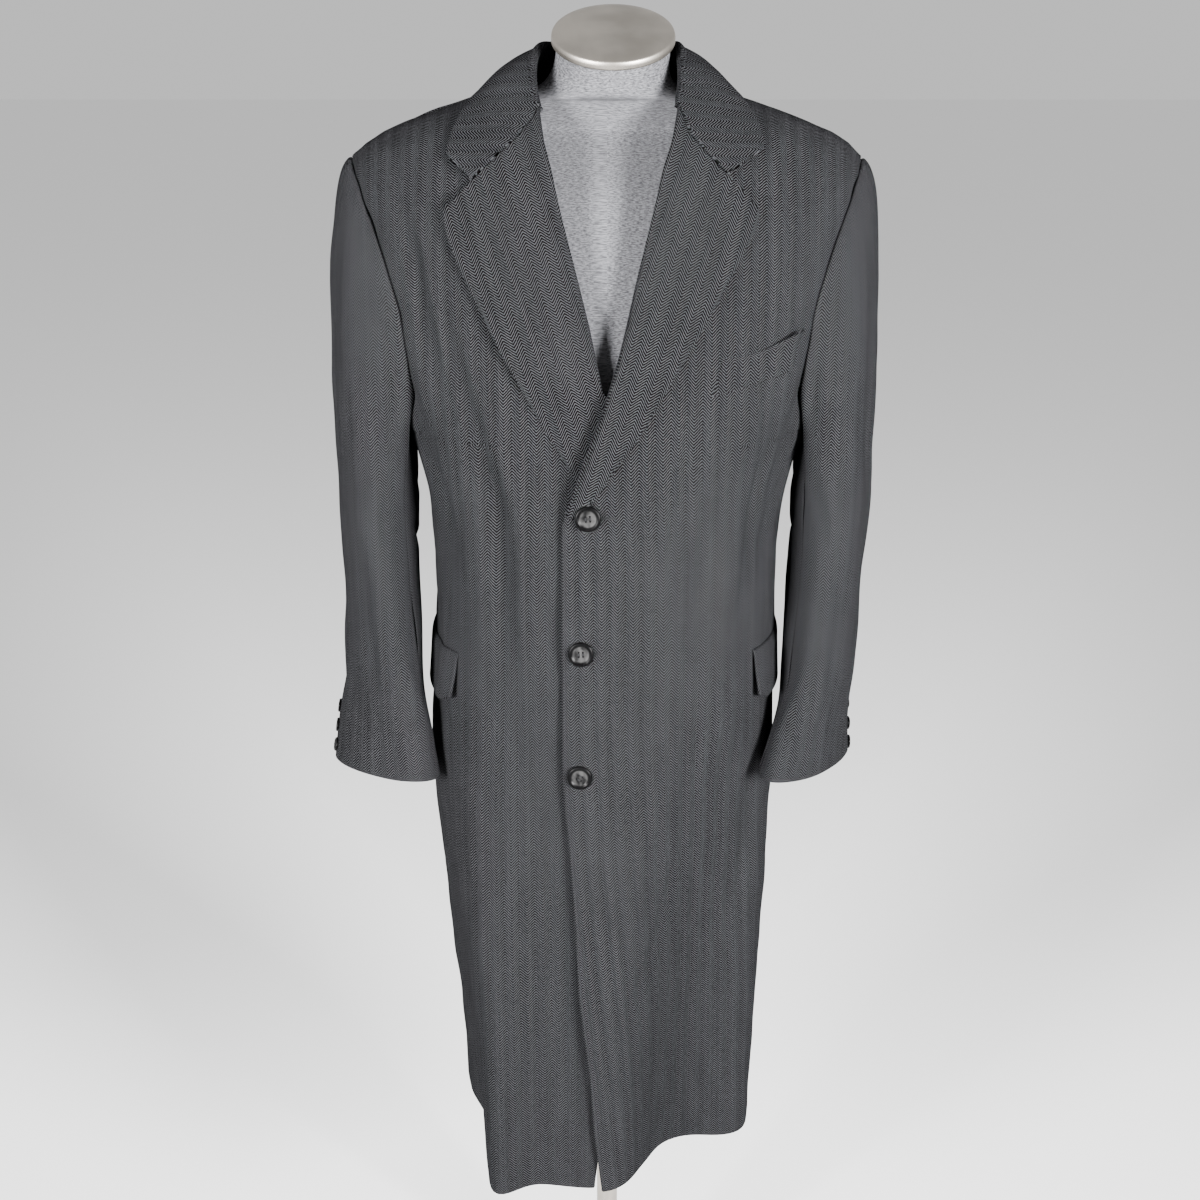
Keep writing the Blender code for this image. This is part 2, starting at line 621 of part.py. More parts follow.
def sleeve_ring(side, place, turn):
    row = dict(zip(SLEEVE_COLUMNS, spline(SLEEVE_RINGS[side], place)))
    sign = 1.0 if side == "left" else -1.0
    twist = math.radians(row["turn"])
    phase = 2.0 * math.pi * turn
    across = Vector((sign * math.cos(twist), -math.sin(twist), 0.0))
    forward = Vector((-sign * math.sin(twist), -math.cos(twist), 0.0))
    centre = Vector((sign * row["centre_x"], row["centre_y"], row["height"]))
    return centre + across * row["across"] * math.cos(phase) + forward * row["along"] * math.sin(phase)


def sleeve_point(side, turn, place, paths):
    """Sleeve from the armhole (place -1) by the armpit's ring (0) to the cuff (the last ring)."""
    turn = turn % 1.0
    if place >= 0.0:
        return sleeve_ring(side, place, turn)
    sign = 1.0 if side == "left" else -1.0
    share = place + 1.0
    top = math.cos(2.0 * math.pi * turn)
    start = path_point(paths[0], turn / 0.5) if turn <= 0.5 else path_point(paths[1], (1.0 - turn) / 0.5)
    low = 0.5 - 0.5 * top
    start = start + Vector((sign * (2.0 * GAP + ARMPIT_GAP * low), 0.0, 0.0))
    stop = sleeve_ring(side, 0.0, turn)
    sideways = 1.0 - (1.0 - share) ** (2.1 + 1.1 * top)
    down = share ** (1.3 + 0.3 * top)
    return Vector((start.x + (stop.x - start.x) * sideways,
                   start.y + (stop.y - start.y) * sideways,
                   start.z + (stop.z - start.z) * down))


def make_sleeve(name, side, first, last, count, shade):
    paths = [armhole_path(side, False), armhole_path(side, True)]
    turns = spread(first + SLEEVE_TRIM, last - SLEEVE_TRIM, count, SLEEVE_NEAR, SLEEVE_NEAR)
    rows = [[sleeve_point(side, turn, place, paths) for turn in turns] for place in SLEEVE_PLACES]
    return cloth_object(name, rows, shade, WALL, flip=side == "right")


def make_flap(side, shade):
    top, depth, first, last = FLAP[side]
    rows = []
    for low in FLAP_PLACES:
        row = []
        for share in even(FLAP_COLUMNS):
            angle = math.radians(first + (last - first) * share)
            drop = depth * low
            if low == 1.0:
                drop -= 0.008 * max(0.0, abs(2.0 * share - 1.0) - 0.75) / 0.25
            stand = FLAP_STAND * low ** 1.5 * (1.0 - share) ** 2
            level = level_at(math.copysign(0.15, first), top - drop)
            row.append(lifted(angle, level, FLAP_WALL + 2.0 * GAP + stand))
        rows.append(row)
    return cloth_object("pocket_flap_" + side, rows, shade, FLAP_WALL, flip=side == "right")


def make_welt(shade):
    corners = [Vector(corner) for corner in WELT_CORNERS]
    rows = []
    for low in WELT_PLACES:
        row = []
        for share in even(WELT_COLUMNS):
            upper = corners[0].lerp(corners[1], share)
            lower = corners[3].lerp(corners[2], share)
            flat = upper.lerp(lower, low)
            flat.y -= WELT_DIP * math.sin(math.pi * share) * (1.0 - low)
            stand = WELT_STAND * (1.0 - low) ** 2 * smooth_step(0.5, 1.0, share)
            row.append(on_front(flat.x, flat.y, WALL + 2.0 * GAP + stand))
        rows.append(row)
    return cloth_object("breast_welt", rows, shade, WALL, flip=False)


def turned(name, profile, steps, shade, matrix):
    """Solid turned about its own Z from a profile that runs down its outer side."""
    mesh = bmesh.new()
    points = [mesh.verts.new((radius, 0.0, height)) for radius, height in profile]
    for upper, lower in zip(points, points[1:]):
        mesh.edges.new((upper, lower))
    thing = mesh_object(name, mesh, shade)
    screw = thing.modifiers.new("Turn", "SCREW")
    screw.steps = steps
    screw.render_steps = steps
    screw.use_merge_vertices = True
    screw.merge_threshold = 0.00005
    thing.matrix_world = matrix
    return thing


def button_profile(diameter, thickness):
    radius = diameter / 2.0
    return ((0.0, thickness * 0.62), (radius * 0.52, thickness * 0.62), (radius * 0.70, thickness * 0.95),
            (radius * 0.84, thickness), (radius * 0.97, thickness * 0.78), (radius, thickness * 0.48),
            (radius * 0.90, thickness * 0.12), (radius * 0.66, 0.0), (0.0, 0.0))


def facing(point, normal):
    """Matrix that puts a turned solid's foot on a point, with its axis along the normal."""
    turn = Vector((0.0, 0.0, 1.0)).rotation_difference(normal)
    return Matrix.Translation(point) @ turn.to_matrix().to_4x4()


def make_front_buttons(shade):
    profile = button_profile(BUTTON_DIAMETER, BUTTON_THICKNESS)
    for number, (x, height) in enumerate(FRONT_BUTTONS, 1):
        level = level_at(x, height)
        angle = angle_at(x, level)
        seat = lifted(angle, level, BUTTON_SEAT)
        turned("front_button_%d" % number, profile, 20, shade, facing(seat, body_normal(angle, level)))


def make_cuff_buttons(side, shade):
    profile = button_profile(CUFF_BUTTON_DIAMETER, CUFF_BUTTON_THICKNESS)
    places = sorted((row[0], index) for index, row in enumerate(SLEEVE_RINGS[side]))
    for number in range(CUFF_BUTTONS):
        place = along(places, CUFF_BUTTON_LOWEST + CUFF_BUTTON_PITCH * number)
        here = sleeve_ring(side, place, CUFF_BUTTON_TURN)
        before, after = [sleeve_ring(side, place, CUFF_BUTTON_TURN + step) for step in (-0.004, 0.004)]
        upper, lower = [sleeve_ring(side, place + step, CUFF_BUTTON_TURN) for step in (-0.05, 0.05)]
        normal = (after - before).cross(lower - upper).normalized()
        if normal.x * here.x < 0.0:
            normal.negate()
        seat = here + normal * BUTTON_SEAT
        turned("cuff_button_%s_%d" % (side, number + 1), profile, 12, shade, facing(seat, normal))


def form_row(ring):
    """Section of the dress form, leaning with the cap near its top."""
    row = []
    for step in range(FORM_STEPS):
        angle = 2.0 * math.pi * step / FORM_STEPS
        sine = math.sin(angle)
        cosine = math.cos(angle)
        power = 2.0 / FORM_SQUARE
        depth = ring["front"] if cosine > 0.0 else ring["back"]
        x = math.copysign(ring["half"] * abs(sine) ** power, sine)
        y = -math.copysign(depth * abs(cosine) ** power, cosine)
        lean = ring["tilt"] * math.tan(math.radians(CAP_TILT)) * (y - NECK_TOP[1])
        shift = NECK_TOP[0] * smooth_step(1.51, 1.56, ring["height"])
        row.append(Vector((x + shift, y, ring["height"] + lean)))
    return row


def make_form(jersey, metal):
    mesh = bmesh.new()
    rows = [form_row(dict(zip(FORM_COLUMNS, ring))) for ring in FORM_RINGS]
    lines = grid(mesh, rows, closed=True)
    mesh.faces.new(list(reversed(lines[0])))
    mesh.faces.new(lines[-1])
    mesh_object("form_torso", mesh, jersey)
    tilt = Matrix.Rotation(math.radians(CAP_TILT), 4, "X")
    seat = Vector(NECK_TOP) + tilt.to_3x3() @ Vector((0.0, 0.0, GAP))
    turned("neck_cap", CAP_PROFILE, 28, metal, Matrix.Translation(seat) @ tilt)


def make_stand(metal):
    top = FORM_RINGS[0][0] - GAP
    foot = BASE_THICKNESS + GAP
    pole = ((0.0, top), (FLANGE_RADIUS, top), (FLANGE_RADIUS, top - FLANGE_THICKNESS),
            (POLE_RADIUS, top - 2.0 * FLANGE_THICKNESS), (POLE_RADIUS, foot + SOCKET_HEIGHT + 0.004),
            (SOCKET_RADIUS, foot + SOCKET_HEIGHT), (SOCKET_RADIUS, foot), (0.0, foot))
    place = Matrix.Translation((0.0, STAND_DEPTH, 0.0))
    turned("form_pole", pole, 20, metal, place)
    base = ((0.0, BASE_THICKNESS), (0.040, BASE_THICKNESS), (BASE_RADIUS - 0.020, BASE_THICKNESS - 0.003),
            (BASE_RADIUS - 0.004, BASE_THICKNESS - 0.006), (BASE_RADIUS, BASE_THICKNESS - 0.010),
            (BASE_RADIUS, 0.002), (BASE_RADIUS - 0.002, 0.0), (0.0, 0.0))
    turned("form_base", base, 32, metal, place)


def main():
    cloth = material("herringbone_wool", (0.095, 0.096, 0.100), 0.92)
    horn = material("grey_horn", (0.120, 0.115, 0.112), 0.35)
    jersey = material("heather_jersey", (0.300, 0.300, 0.310), 0.90)
    steel = material("brushed_metal", (0.560, 0.540, 0.510), 0.35, 1.0)
    for side in ("left", "right"):
        make_front(side, cloth)
        make_back(side, cloth)
        make_lapel(side, cloth)
        make_sleeve("top_sleeve_" + side, side, SLEEVE_SEAM_HIND - 1.0, SLEEVE_SEAM_FRONT,
                    TOP_SLEEVE_COLUMNS, cloth)
        make_sleeve("under_sleeve_" + side, side, SLEEVE_SEAM_FRONT, SLEEVE_SEAM_HIND,
                    UNDER_SLEEVE_COLUMNS, cloth)
        make_flap(side, cloth)
        make_cuff_buttons(side, horn)
    make_collar(cloth)
    make_welt(cloth)
    make_front_buttons(horn)
    make_form(jersey, steel)
    make_stand(steel)


clear_scene()
COLLECTION = bpy.data.collections.new("overcoat_on_dress_form")
bpy.context.scene.collection.children.link(COLLECTION)
main()
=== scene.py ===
"""Looks of a long herringbone overcoat on a limbless dress form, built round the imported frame.

Metres, +Z up, floor at Z = 0. The front of the coat faces -Y and the wearer's left is at +X.
Angles run round the body from the front centre, positive towards +X. Levels are ring numbers from the hem.
Every cut piece of cloth is a fine sheet on its solid's form, with its edges turned under and its creases
pressed in, and it carries its cloth coordinates in metres for the weave.
"""

import math

import bmesh
import bpy
import numpy as np
from mathutils import Matrix, Vector


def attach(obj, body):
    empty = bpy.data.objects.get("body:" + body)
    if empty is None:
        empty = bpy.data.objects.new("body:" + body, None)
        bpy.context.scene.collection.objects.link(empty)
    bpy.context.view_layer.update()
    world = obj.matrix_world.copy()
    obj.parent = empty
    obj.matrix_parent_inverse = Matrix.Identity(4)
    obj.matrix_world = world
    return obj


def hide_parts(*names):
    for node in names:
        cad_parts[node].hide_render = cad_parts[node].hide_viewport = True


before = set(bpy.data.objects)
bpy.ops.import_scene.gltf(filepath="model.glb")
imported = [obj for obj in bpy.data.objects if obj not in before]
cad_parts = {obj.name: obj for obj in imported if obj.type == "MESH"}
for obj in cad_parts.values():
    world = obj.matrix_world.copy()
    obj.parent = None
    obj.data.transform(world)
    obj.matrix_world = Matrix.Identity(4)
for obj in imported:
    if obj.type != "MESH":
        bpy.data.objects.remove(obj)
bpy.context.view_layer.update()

# Driving dimensions, the frame's own
WALL = 0.0024
GAP = 0.0003
LAPEL_WALL = 0.003
FLAP_WALL = 0.0032
HEM_HEIGHT = 0.372
NECK_HALF_WIDTH = 0.088
NECK_BACK_DEPTH = 0.075
COLLAR_SHIFT = 0.004
BUTTON_DIAMETER = 0.026
BUTTON_THICKNESS = 0.004
CUFF_BUTTON_DIAMETER = 0.015
CUFF_BUTTON_THICKNESS = 0.0032
CUFF_BUTTON_PITCH = 0.0156
POLE_RADIUS = 0.0125
BASE_RADIUS = 0.19
BASE_THICKNESS = 0.014

# Signs of the sides, halvings of a search, step for the slopes of the body in radians and ring numbers
SIGN = {"left": 1.0, "right": -1.0}
BISECTIONS = 26
NORMAL_STEP = 0.02

# Sheets: thickness of the cloth that shows, bend radius of a turned edge and width turned under
SHEET = 0.0009
EDGE_RADIUS = 0.0015
ROLL_RADIUS = 0.0027
TURNED_UNDER = 0.008
SPACING = 0.0055
SEAM_STEPS = (0.0, 0.0008, 0.002, 0.004)
EDGE_STEPS = (0.0, 0.0035)
SEAM_DIP = 0.0008
SEAM_WIDTH = 0.0016
SLEEVE_SEAM_SHARE = 0.35
TUCK_REACH = 0.0055
TUCK_DEPTH = 0.0016
TUCK_STEPS = ((1.0, 1.0), (0.3, 1.0), (0.06, 0.7), (0.0, 0.3))
# Columns of the sheets, angle of a panel's middle, gap at its side seam, unevenness of the cloth and its
# longest wave, pitch of the coarse grid that a piece is first laid flat on
FRONT_COLUMNS = 64
BACK_COLUMNS = 50
TOP_SLEEVE_COLUMNS = 44
UNDER_SLEEVE_COLUMNS = 34
PANEL_MIDDLE = 0.6
SIDE_GAP = 0.0012
PANEL_UNEVENNESS = 0.00045
SLEEVE_UNEVENNESS = 0.0004
SMALL_UNEVENNESS = 0.0003
LONGEST_WAVE = 0.12
COARSE_PITCH = 0.018

# Rings of the body, from the hem up
BODY_RINGS = (
    (0.372, 0.0, 0.176, 0.168, 0.196, 0.205, 2.3),
    (0.5, 0.0, 0.178, 0.171, 0.192, 0.19, 2.35),
    (0.64, 0.0, 0.188, 0.176, 0.187, 0.172, 2.4),
    (0.78, 0.0, 0.195, 0.181, 0.181, 0.156, 2.4),
    (0.9, 0.0, 0.189, 0.181, 0.177, 0.144, 2.4),
    (1.02, 0.0, 0.182, 0.179, 0.172, 0.136, 2.4),
    (1.12, 0.0, 0.186, 0.184, 0.167, 0.134, 2.4),
    (1.19, 0.03, 0.203, 0.202, 0.161, 0.136, 2.4),
    (1.25, 0.1, 0.222, 0.222, 0.153, 0.137, 2.4),
    (1.31, 0.25, 0.241, 0.241, 0.14, 0.132, 2.35),
    (1.365, 0.5, 0.252, 0.252, 0.121, 0.12, 2.3),
    (1.408, 0.72, 0.257, 0.257, 0.098, 0.101, 2.2),
    (1.438, 0.88, 0.258, 0.258, 0.068, 0.073, 2.1),
    (1.453, 0.97, 0.2575, 0.2575, 0.034, 0.038, 2.0),
    (1.4574, 0.995, 0.2565, 0.2565, 0.011, 0.012, 2.0),
    (1.458, 1.0, 0.256, 0.256, 0.0003, 0.0003, 2.0),
)
LEVEL, SLOPE, RIGHT, LEFT, FRONT, BACK, SQUARE = range(7)
TOP = len(BODY_RINGS) - 1
ARMPIT = 7.0

# Rise of the shoulder seam over its outer end, by distance from the centre
SHOULDER_RISE = ((0.0, 0.094), (0.06, 0.083), (0.09, 0.071), (0.126, 0.058), (0.163, 0.046),
                 (0.195, 0.034), (0.22, 0.0235), (0.238, 0.013), (0.252, 0.0), (0.27, -0.02))

# Half width of the panels at the armhole and the angle of the side seam, by ring
ARMHOLE_FRONT = ((7.0, 0.202), (7.12, 0.2), (7.4, 0.1955), (7.8, 0.1935), (8.3, 0.1945), (9.0, 0.2),
                 (10.0, 0.219), (11.0, 0.2365), (12.0, 0.2465), (13.0, 0.251), (15.0, 0.252))
ARMHOLE_BACK = ((7.0, 0.202), (7.12, 0.2005), (7.4, 0.1985), (7.8, 0.199), (8.3, 0.202), (9.0, 0.208),
                (10.0, 0.221), (11.0, 0.235), (12.0, 0.245), (13.0, 0.251), (15.0, 0.252))
SIDE_SEAM = ((0.0, 112.0), (4.0, 108.0), (6.0, 101.0), (7.0, 96.0))

# Edges of the fronts: distance from the centre by height
LEFT_EDGE = ((0.372, -0.004), (0.452, -0.014), (0.514, -0.018), (0.567, -0.0245), (0.617, -0.03),
             (0.711, -0.034), (0.784, -0.039), (0.826, -0.043), (0.885, -0.045), (1.053, -0.0445),
             (1.126, -0.0435))
LEFT_ROLL = ((1.126, -0.0435), (1.157, -0.032), (1.17, -0.0285), (1.206, -0.016), (1.237, -0.004),
             (1.287, 0.0112), (1.322, 0.02), (1.356, 0.0275), (1.39, 0.0362), (1.424, 0.045),
             (1.456, 0.0525), (1.48, 0.061), (1.5, 0.067), (1.514, 0.072), (1.527, 0.08),
             (1.54, 0.088))
RIGHT_EDGE = ((0.372, -0.012), (0.5, 0.006), (0.64, 0.018), (0.78, 0.022), (1.23, 0.02))
RIGHT_ROLL = ((1.23, 0.018), (1.2547, -0.0038), (1.2865, -0.0108), (1.318, -0.0177), (1.353, -0.0265),
              (1.386, -0.0352), (1.42, -0.0445), (1.456, -0.0525), (1.48, -0.0595), (1.5, -0.065),
              (1.514, -0.07), (1.527, -0.078), (1.54, -0.088))
FRONT_EDGE = {"left": LEFT_EDGE, "right": RIGHT_EDGE}
FRONT_ROLL = {"left": LEFT_ROLL, "right": RIGHT_ROLL}
UNDERLAP_ROOM = 0.0026
UNDERLAP_SHADE = 0.003
LAPEL_ROOM = 0.0012

# Folds of the body: angle at the upper and lower end, heading of the push, heights of both ends, the depth
# there (out is positive) and half width in degrees. The first ones are the solids' own, the rest are
# creases that only the sheet has.
BODY_FOLDS = (
    (38.0, 34.0, 26.0, 0.98, 0.36, 0.0, -0.072, 40.0),
    (-40.0, -44.0, 0.0, 0.95, 0.36, 0.0, 0.046, 24.0),
    (-74.0, -72.0, -88.0, 0.9, 0.36, 0.0, -0.03, 34.0),
    (-34.0, -30.0, -32.0, 1.24, 0.8, -0.006, -0.002, 11.0),
    (-62.0, -58.0, -60.0, 1.3, 0.98, -0.007, -0.003, 9.0),
    (30.0, 24.0, 27.0, 1.18, 0.78, -0.006, -0.003, 11.0),
    (61.0, 58.0, 60.0, 1.3, 0.98, -0.007, -0.003, 9.0),
    (134.0, 138.0, 136.0, 1.02, 0.36, -0.004, -0.024, 15.0),
    (-132.0, -140.0, -136.0, 1.05, 0.36, -0.004, -0.02, 15.0),
    (160.0, 156.0, 158.0, 0.95, 0.36, 0.0, 0.012, 12.0),
    (-158.0, -162.0, -160.0, 0.98, 0.36, 0.0, 0.014, 12.0),
    (118.0, 122.0, 120.0, 1.32, 1.0, -0.008, -0.002, 12.0),
    (-118.0, -122.0, -120.0, 1.32, 1.0, -0.008, -0.002, 12.0),
)
# Creases: angle at the upper and lower end, heights of both ends, depth in millimetres, half width
BODY_CREASES = (
    (-37.0, -31.0, 1.34, 0.92, -3.2, 5.5),
    (-26.0, -22.0, 1.22, 0.96, 1.4, 6.0),
    (-47.0, -45.0, 1.43, 1.22, -2.6, 5.0),
    (-19.0, -17.0, 1.18, 1.11, -1.6, 3.0),
    (-70.0, -52.0, 1.2, 1.06, -2.4, 6.0),
    (-66.0, -60.0, 1.04, 0.88, 1.6, 7.0),
    (-16.0, -13.0, 0.84, 0.4, -1.8, 6.0),
    (-29.0, -27.0, 0.7, 0.37, 1.8, 7.0),
    (20.0, 11.0, 1.25, 0.97, -2.8, 5.5),
    (36.0, 35.0, 1.25, 1.15, 2.2, 7.0),
    (48.0, 45.0, 1.22, 1.0, -3.2, 6.0),
    (25.0, 3.0, 0.79, 0.55, -1.8, 5.0),
    (12.0, 7.0, 0.95, 0.72, 1.2, 6.0),
    (58.0, 50.0, 0.9, 0.6, -2.0, 7.0),
    (72.0, 56.0, 1.19, 1.07, -2.2, 6.0),
    (96.0, 84.0, 1.15, 1.02, -1.8, 6.0),
    (-94.0, -82.0, 1.16, 1.0, -2.0, 7.0),
    (104.0, 124.0, 1.22, 1.08, -2.4, 6.0),
    (-106.0, -128.0, 1.2, 1.07, -2.0, 6.0),
    (150.0, 146.0, 1.3, 1.12, -1.8, 8.0),
    (-148.0, -152.0, 1.34, 1.1, -2.2, 8.0),
    (171.0, 168.0, 1.18, 0.95, -1.4, 7.0),
    (-168.0, -171.0, 1.1, 0.9, -1.8, 6.0),
    (126.0, 118.0, 0.98, 0.8, -1.6, 6.0),
    (-124.0, -120.0, 0.95, 0.74, 1.6, 7.0),
    (146.0, 150.0, 0.86, 0.4, 2.2, 8.0),
    (-146.0, -149.0, 0.82, 0.38, 2.4, 9.0),
    (172.0, 174.0, 0.7, 0.37, -1.8, 7.0),
    (102.0, 100.0, 0.76, 0.38, 2.0, 9.0),
    (-100.0, -104.0, 0.72, 0.38, 1.8, 8.0),
)

CREASE_STRENGTH = 2.0

# Rings of the sleeves below the armpit
SLEEVE_RINGS = {
    "right": ((1.12, 0.239, -0.01, 0.042, 0.083, 6.0),
              (1.02, 0.2385, -0.024, 0.0395, 0.079, 12.0),
              (0.93, 0.237, -0.043, 0.0365, 0.073, 24.0),
              (0.88, 0.236, -0.061, 0.0335, 0.069, 42.0),
              (0.835, 0.234, -0.079, 0.031, 0.066, 58.0)),
    "left": ((1.12, 0.234, -0.01, 0.042, 0.083, 6.0),
             (1.02, 0.23, -0.024, 0.0395, 0.079, 8.0),
             (0.93, 0.223, -0.045, 0.037, 0.073, 14.0),
             (0.88, 0.216, -0.065, 0.034, 0.069, 28.0),
             (0.841, 0.2095, -0.084, 0.032, 0.066, 41.0)),
}
SLEEVE_LAST = 4.0
SLEEVE_SEAM_FRONT = 0.36
SLEEVE_SEAM_HIND = 0.8
ARMPIT_GAP = 0.002
# Creases of the sleeves: turn at the upper and lower end, heights of both ends, depth in millimetres, half
# width as a share of the turn
SLEEVE_CREASES = {
    "right": ((0.2, 0.33, 1.32, 1.2, -2.2, 0.035), (0.3, 0.22, 1.18, 1.05, -1.8, 0.04),
              (0.06, 0.02, 1.36, 1.1, -1.6, 0.05), (0.16, 0.1, 1.1, 0.9, -1.8, 0.04),
              (0.44, 0.56, 1.18, 1.06, -2.6, 0.04), (0.4, 0.62, 1.1, 1.02, -2.2, 0.04),
              (0.74, 0.64, 1.26, 1.12, -2.4, 0.045), (0.92, 0.86, 1.2, 0.98, -1.8, 0.04),
              (0.26, 0.3, 0.98, 0.86, 1.4, 0.045), (0.97, 0.93, 1.0, 0.86, 1.2, 0.05)),
    "left": ((0.22, 0.34, 1.33, 1.18, -2.4, 0.035), (0.32, 0.2, 1.16, 1.04, -1.6, 0.04),
             (0.09, 0.04, 1.34, 1.06, -1.8, 0.05), (0.17, 0.12, 1.06, 0.88, -1.6, 0.04),
             (0.45, 0.57, 1.19, 1.07, -2.4, 0.04), (0.42, 0.6, 1.11, 1.03, -2.4, 0.04),
             (0.75, 0.66, 1.28, 1.1, -2.2, 0.045), (0.94, 0.88, 1.22, 1.0, -1.8, 0.04),
             (0.27, 0.31, 0.96, 0.86, 1.4, 0.045), (0.99, 0.95, 1.02, 0.88, 1.2, 0.05)),
}

# Lapels: outer edge from the lower end to the tip, top from the fold to the tip, distance and height
LAPELS = {
    "right": {"low_end": 0.02,
              "outer": ((0.012, 1.205), (-0.0287, 1.1663), (-0.0466, 1.1947), (-0.0654, 1.2245),
                        (-0.0869, 1.2668), (-0.114, 1.319), (-0.1366, 1.3624), (-0.15, 1.394),
                        (-0.1528, 1.4161)),
              "top": ((-0.064, 1.5085), (-0.0806, 1.4868), (-0.1259, 1.4433), (-0.1528, 1.4161))},
    "left": {"low_end": 0.03,
             "outer": ((-0.0435, 1.1257), (-0.0153, 1.1491), (0.0086, 1.1828), (0.0322, 1.2149),
                       (0.0603, 1.263), (0.0977, 1.326), (0.1282, 1.3806), (0.14, 1.4),
                       (0.1421, 1.4156)),
             "top": ((0.066, 1.5085), (0.0777, 1.4843), (0.1125, 1.4481), (0.1421, 1.4156))},
}
LAPEL_GRAIN = math.radians(17.0)
LAPEL_PUFF = 0.003
LAPEL_STAND = 0.0042

# Pockets: height of the upper edge, depth of the piece, and the angles of its ends
FLAP = {"right": (0.978, 0.055, -52.0, -97.0), "left": (0.98, 0.055, 53.0, 96.0)}
FLAP_STAND = 0.0085
WELT_CORNERS = ((0.1085, 1.284), (0.184, 1.306), (0.18, 1.266), (0.1, 1.248))
WELT_STAND = 0.0085
WELT_DIP = 0.006

# Buttons: distance from the centre, height, and turn of the four holes in degrees
FRONT_BUTTONS = ((-0.0183, 1.1345, 4.0), (-0.0256, 0.9975, 0.0), (-0.0273, 0.8665, 62.0))
BUTTONHOLE_LENGTH = 0.028
CUFF_BUTTONS = 3
CUFF_BUTTON_TURN = 0.835
CUFF_BUTTON_SEAT = 0.0017
CUFF_BUTTON_CALM = 0.05
CUFF_BUTTON_LOWEST = 0.851
BUTTON_SEAT = 0.0001
# Section of a button from its middle round its rim, in shares of its radius and thickness
BUTTON_PROFILE = ((0.0, 0.6), (0.3, 0.6), (0.55, 0.63), (0.64, 0.72), (0.71, 0.92), (0.78, 1.0), (0.87, 0.99),
                  (0.95, 0.86), (0.995, 0.62), (1.0, 0.45), (0.97, 0.25), (0.88, 0.1), (0.62, 0.0), (0.0, 0.0))
ROUNDING_STEPS = 6

# Collar: fold line and plan of the outer edge from the back centre to the front end of one half
COLLAR_FOLD = ((0.0, 0.084, 1.566), (0.034, 0.075, 1.566), (0.057, 0.046, 1.5655),
               (0.068, 0.01, 1.564), (0.0712, -0.022, 1.552), (0.0695, -0.052, 1.53),
               (0.065, -0.076, 1.512))
COLLAR_EDGE = ((0.0, 0.094), (0.048, 0.089), (0.092, 0.066), (0.116, 0.034), (0.1245, -0.004),
               (0.139, -0.036), (0.15, -0.06))
COLLAR_POINT = {"right": (-0.1515, 1.4634), "left": (0.1468, 1.4687)}
COLLAR_STAND = ((0.0, 0.034), (2.0, 0.033), (3.0, 0.027), (4.0, 0.011), (5.0, 0.0045), (6.0, 0.0015))
COLLAR_LEAN = ((0.0, -0.003), (1.5, 0.004), (3.0, 0.015), (4.0, 0.01), (5.0, 0.0))
COLLAR_END = 6.0
COLLAR_LIFT = 0.0044
COLLAR_END_LIFT = 0.0074
COLLAR_END_CLEAR = 0.0009
COLLAR_BULGE = 0.0075
COLLAR_FLAT_END = 1.7
FOLD_RADIUS = 0.0046
FRONT_FOLD_RADIUS = 0.0031
GORGE_GAP = -0.0009
COLLAR_END_RADIUS = 0.0008
LAPEL_ALLOWANCE = 0.0045
LAPEL_TOP_DEPTH = 0.0004
COLLAR_STEPS = 24

# Rings of the dress form: height, half width, depth in front and behind, share of the cap's tilt
FORM_RINGS = (
    (0.742, 0.12, 0.085, 0.075, 0.0),
    (0.75, 0.146, 0.108, 0.096, 0.0),
    (0.775, 0.16, 0.12, 0.106, 0.0),
    (0.86, 0.163, 0.122, 0.108, 0.0),
    (0.96, 0.15, 0.115, 0.098, 0.0),
    (1.04, 0.142, 0.111, 0.092, 0.0),
    (1.13, 0.152, 0.12, 0.1, 0.0),
    (1.22, 0.168, 0.127, 0.11, 0.0),
    (1.3, 0.182, 0.122, 0.112, 0.0),
    (1.37, 0.193, 0.103, 0.104, 0.0),
    (1.42, 0.199, 0.078, 0.084, 0.0),
    (1.453, 0.2005, 0.052, 0.058, 0.0),
    (1.474, 0.199, 0.034, 0.04, 0.0),
    (1.4843, 0.196, 0.027, 0.033, 0.0),
    (1.4922, 0.185, 0.029, 0.035, 0.0),
    (1.5021, 0.159, 0.034, 0.041, 0.0),
    (1.5118, 0.127, 0.041, 0.048, 0.0),
    (1.5155, 0.096, 0.046, 0.053, 0.05),
    (1.5205, 0.076, 0.05, 0.055, 0.15),
    (1.529, 0.062, 0.052, 0.054, 0.3),
    (1.545, 0.056, 0.053, 0.053, 0.6),
    (1.566, 0.0555, 0.053, 0.053, 1.0),
)
FORM_SQUARE = 2.1
NECK_TOP = (0.006, -0.004, 1.566)
CAP_TILT = 26.0
STAND_DEPTH = 0.01

# Weave: width of a column, pitch of the twill along the grain
COLUMN = 0.00775
TWILL_PITCH = 0.00302

# Photo: size in pixels, the pixel straight ahead of the lens, focal length in pixels
PHOTO = 1200.0
CENTRE_PIXEL = (607.0, 627.0)
FOCAL_PIXELS = 1713.0
CAMERA_PLACE = (0.0, -1.75, 1.6)
CAMERA_TILT = 20.0
SENSOR = 36.0
LIGHT_AIM = (0.0, 0.0, 1.3)
LIGHT_SPREAD = math.radians(100.0)
LIGHT_SIZE = 0.9
LIGHTS = (("key", (1.9, -2.4, 1.6), 215.0), ("fill", (-1.9, -2.4, 1.5), 160.0))
WORLD_STRENGTH = 0.72
FLOOR_REACH = 30.0
FLOOR_DROP = 0.0004


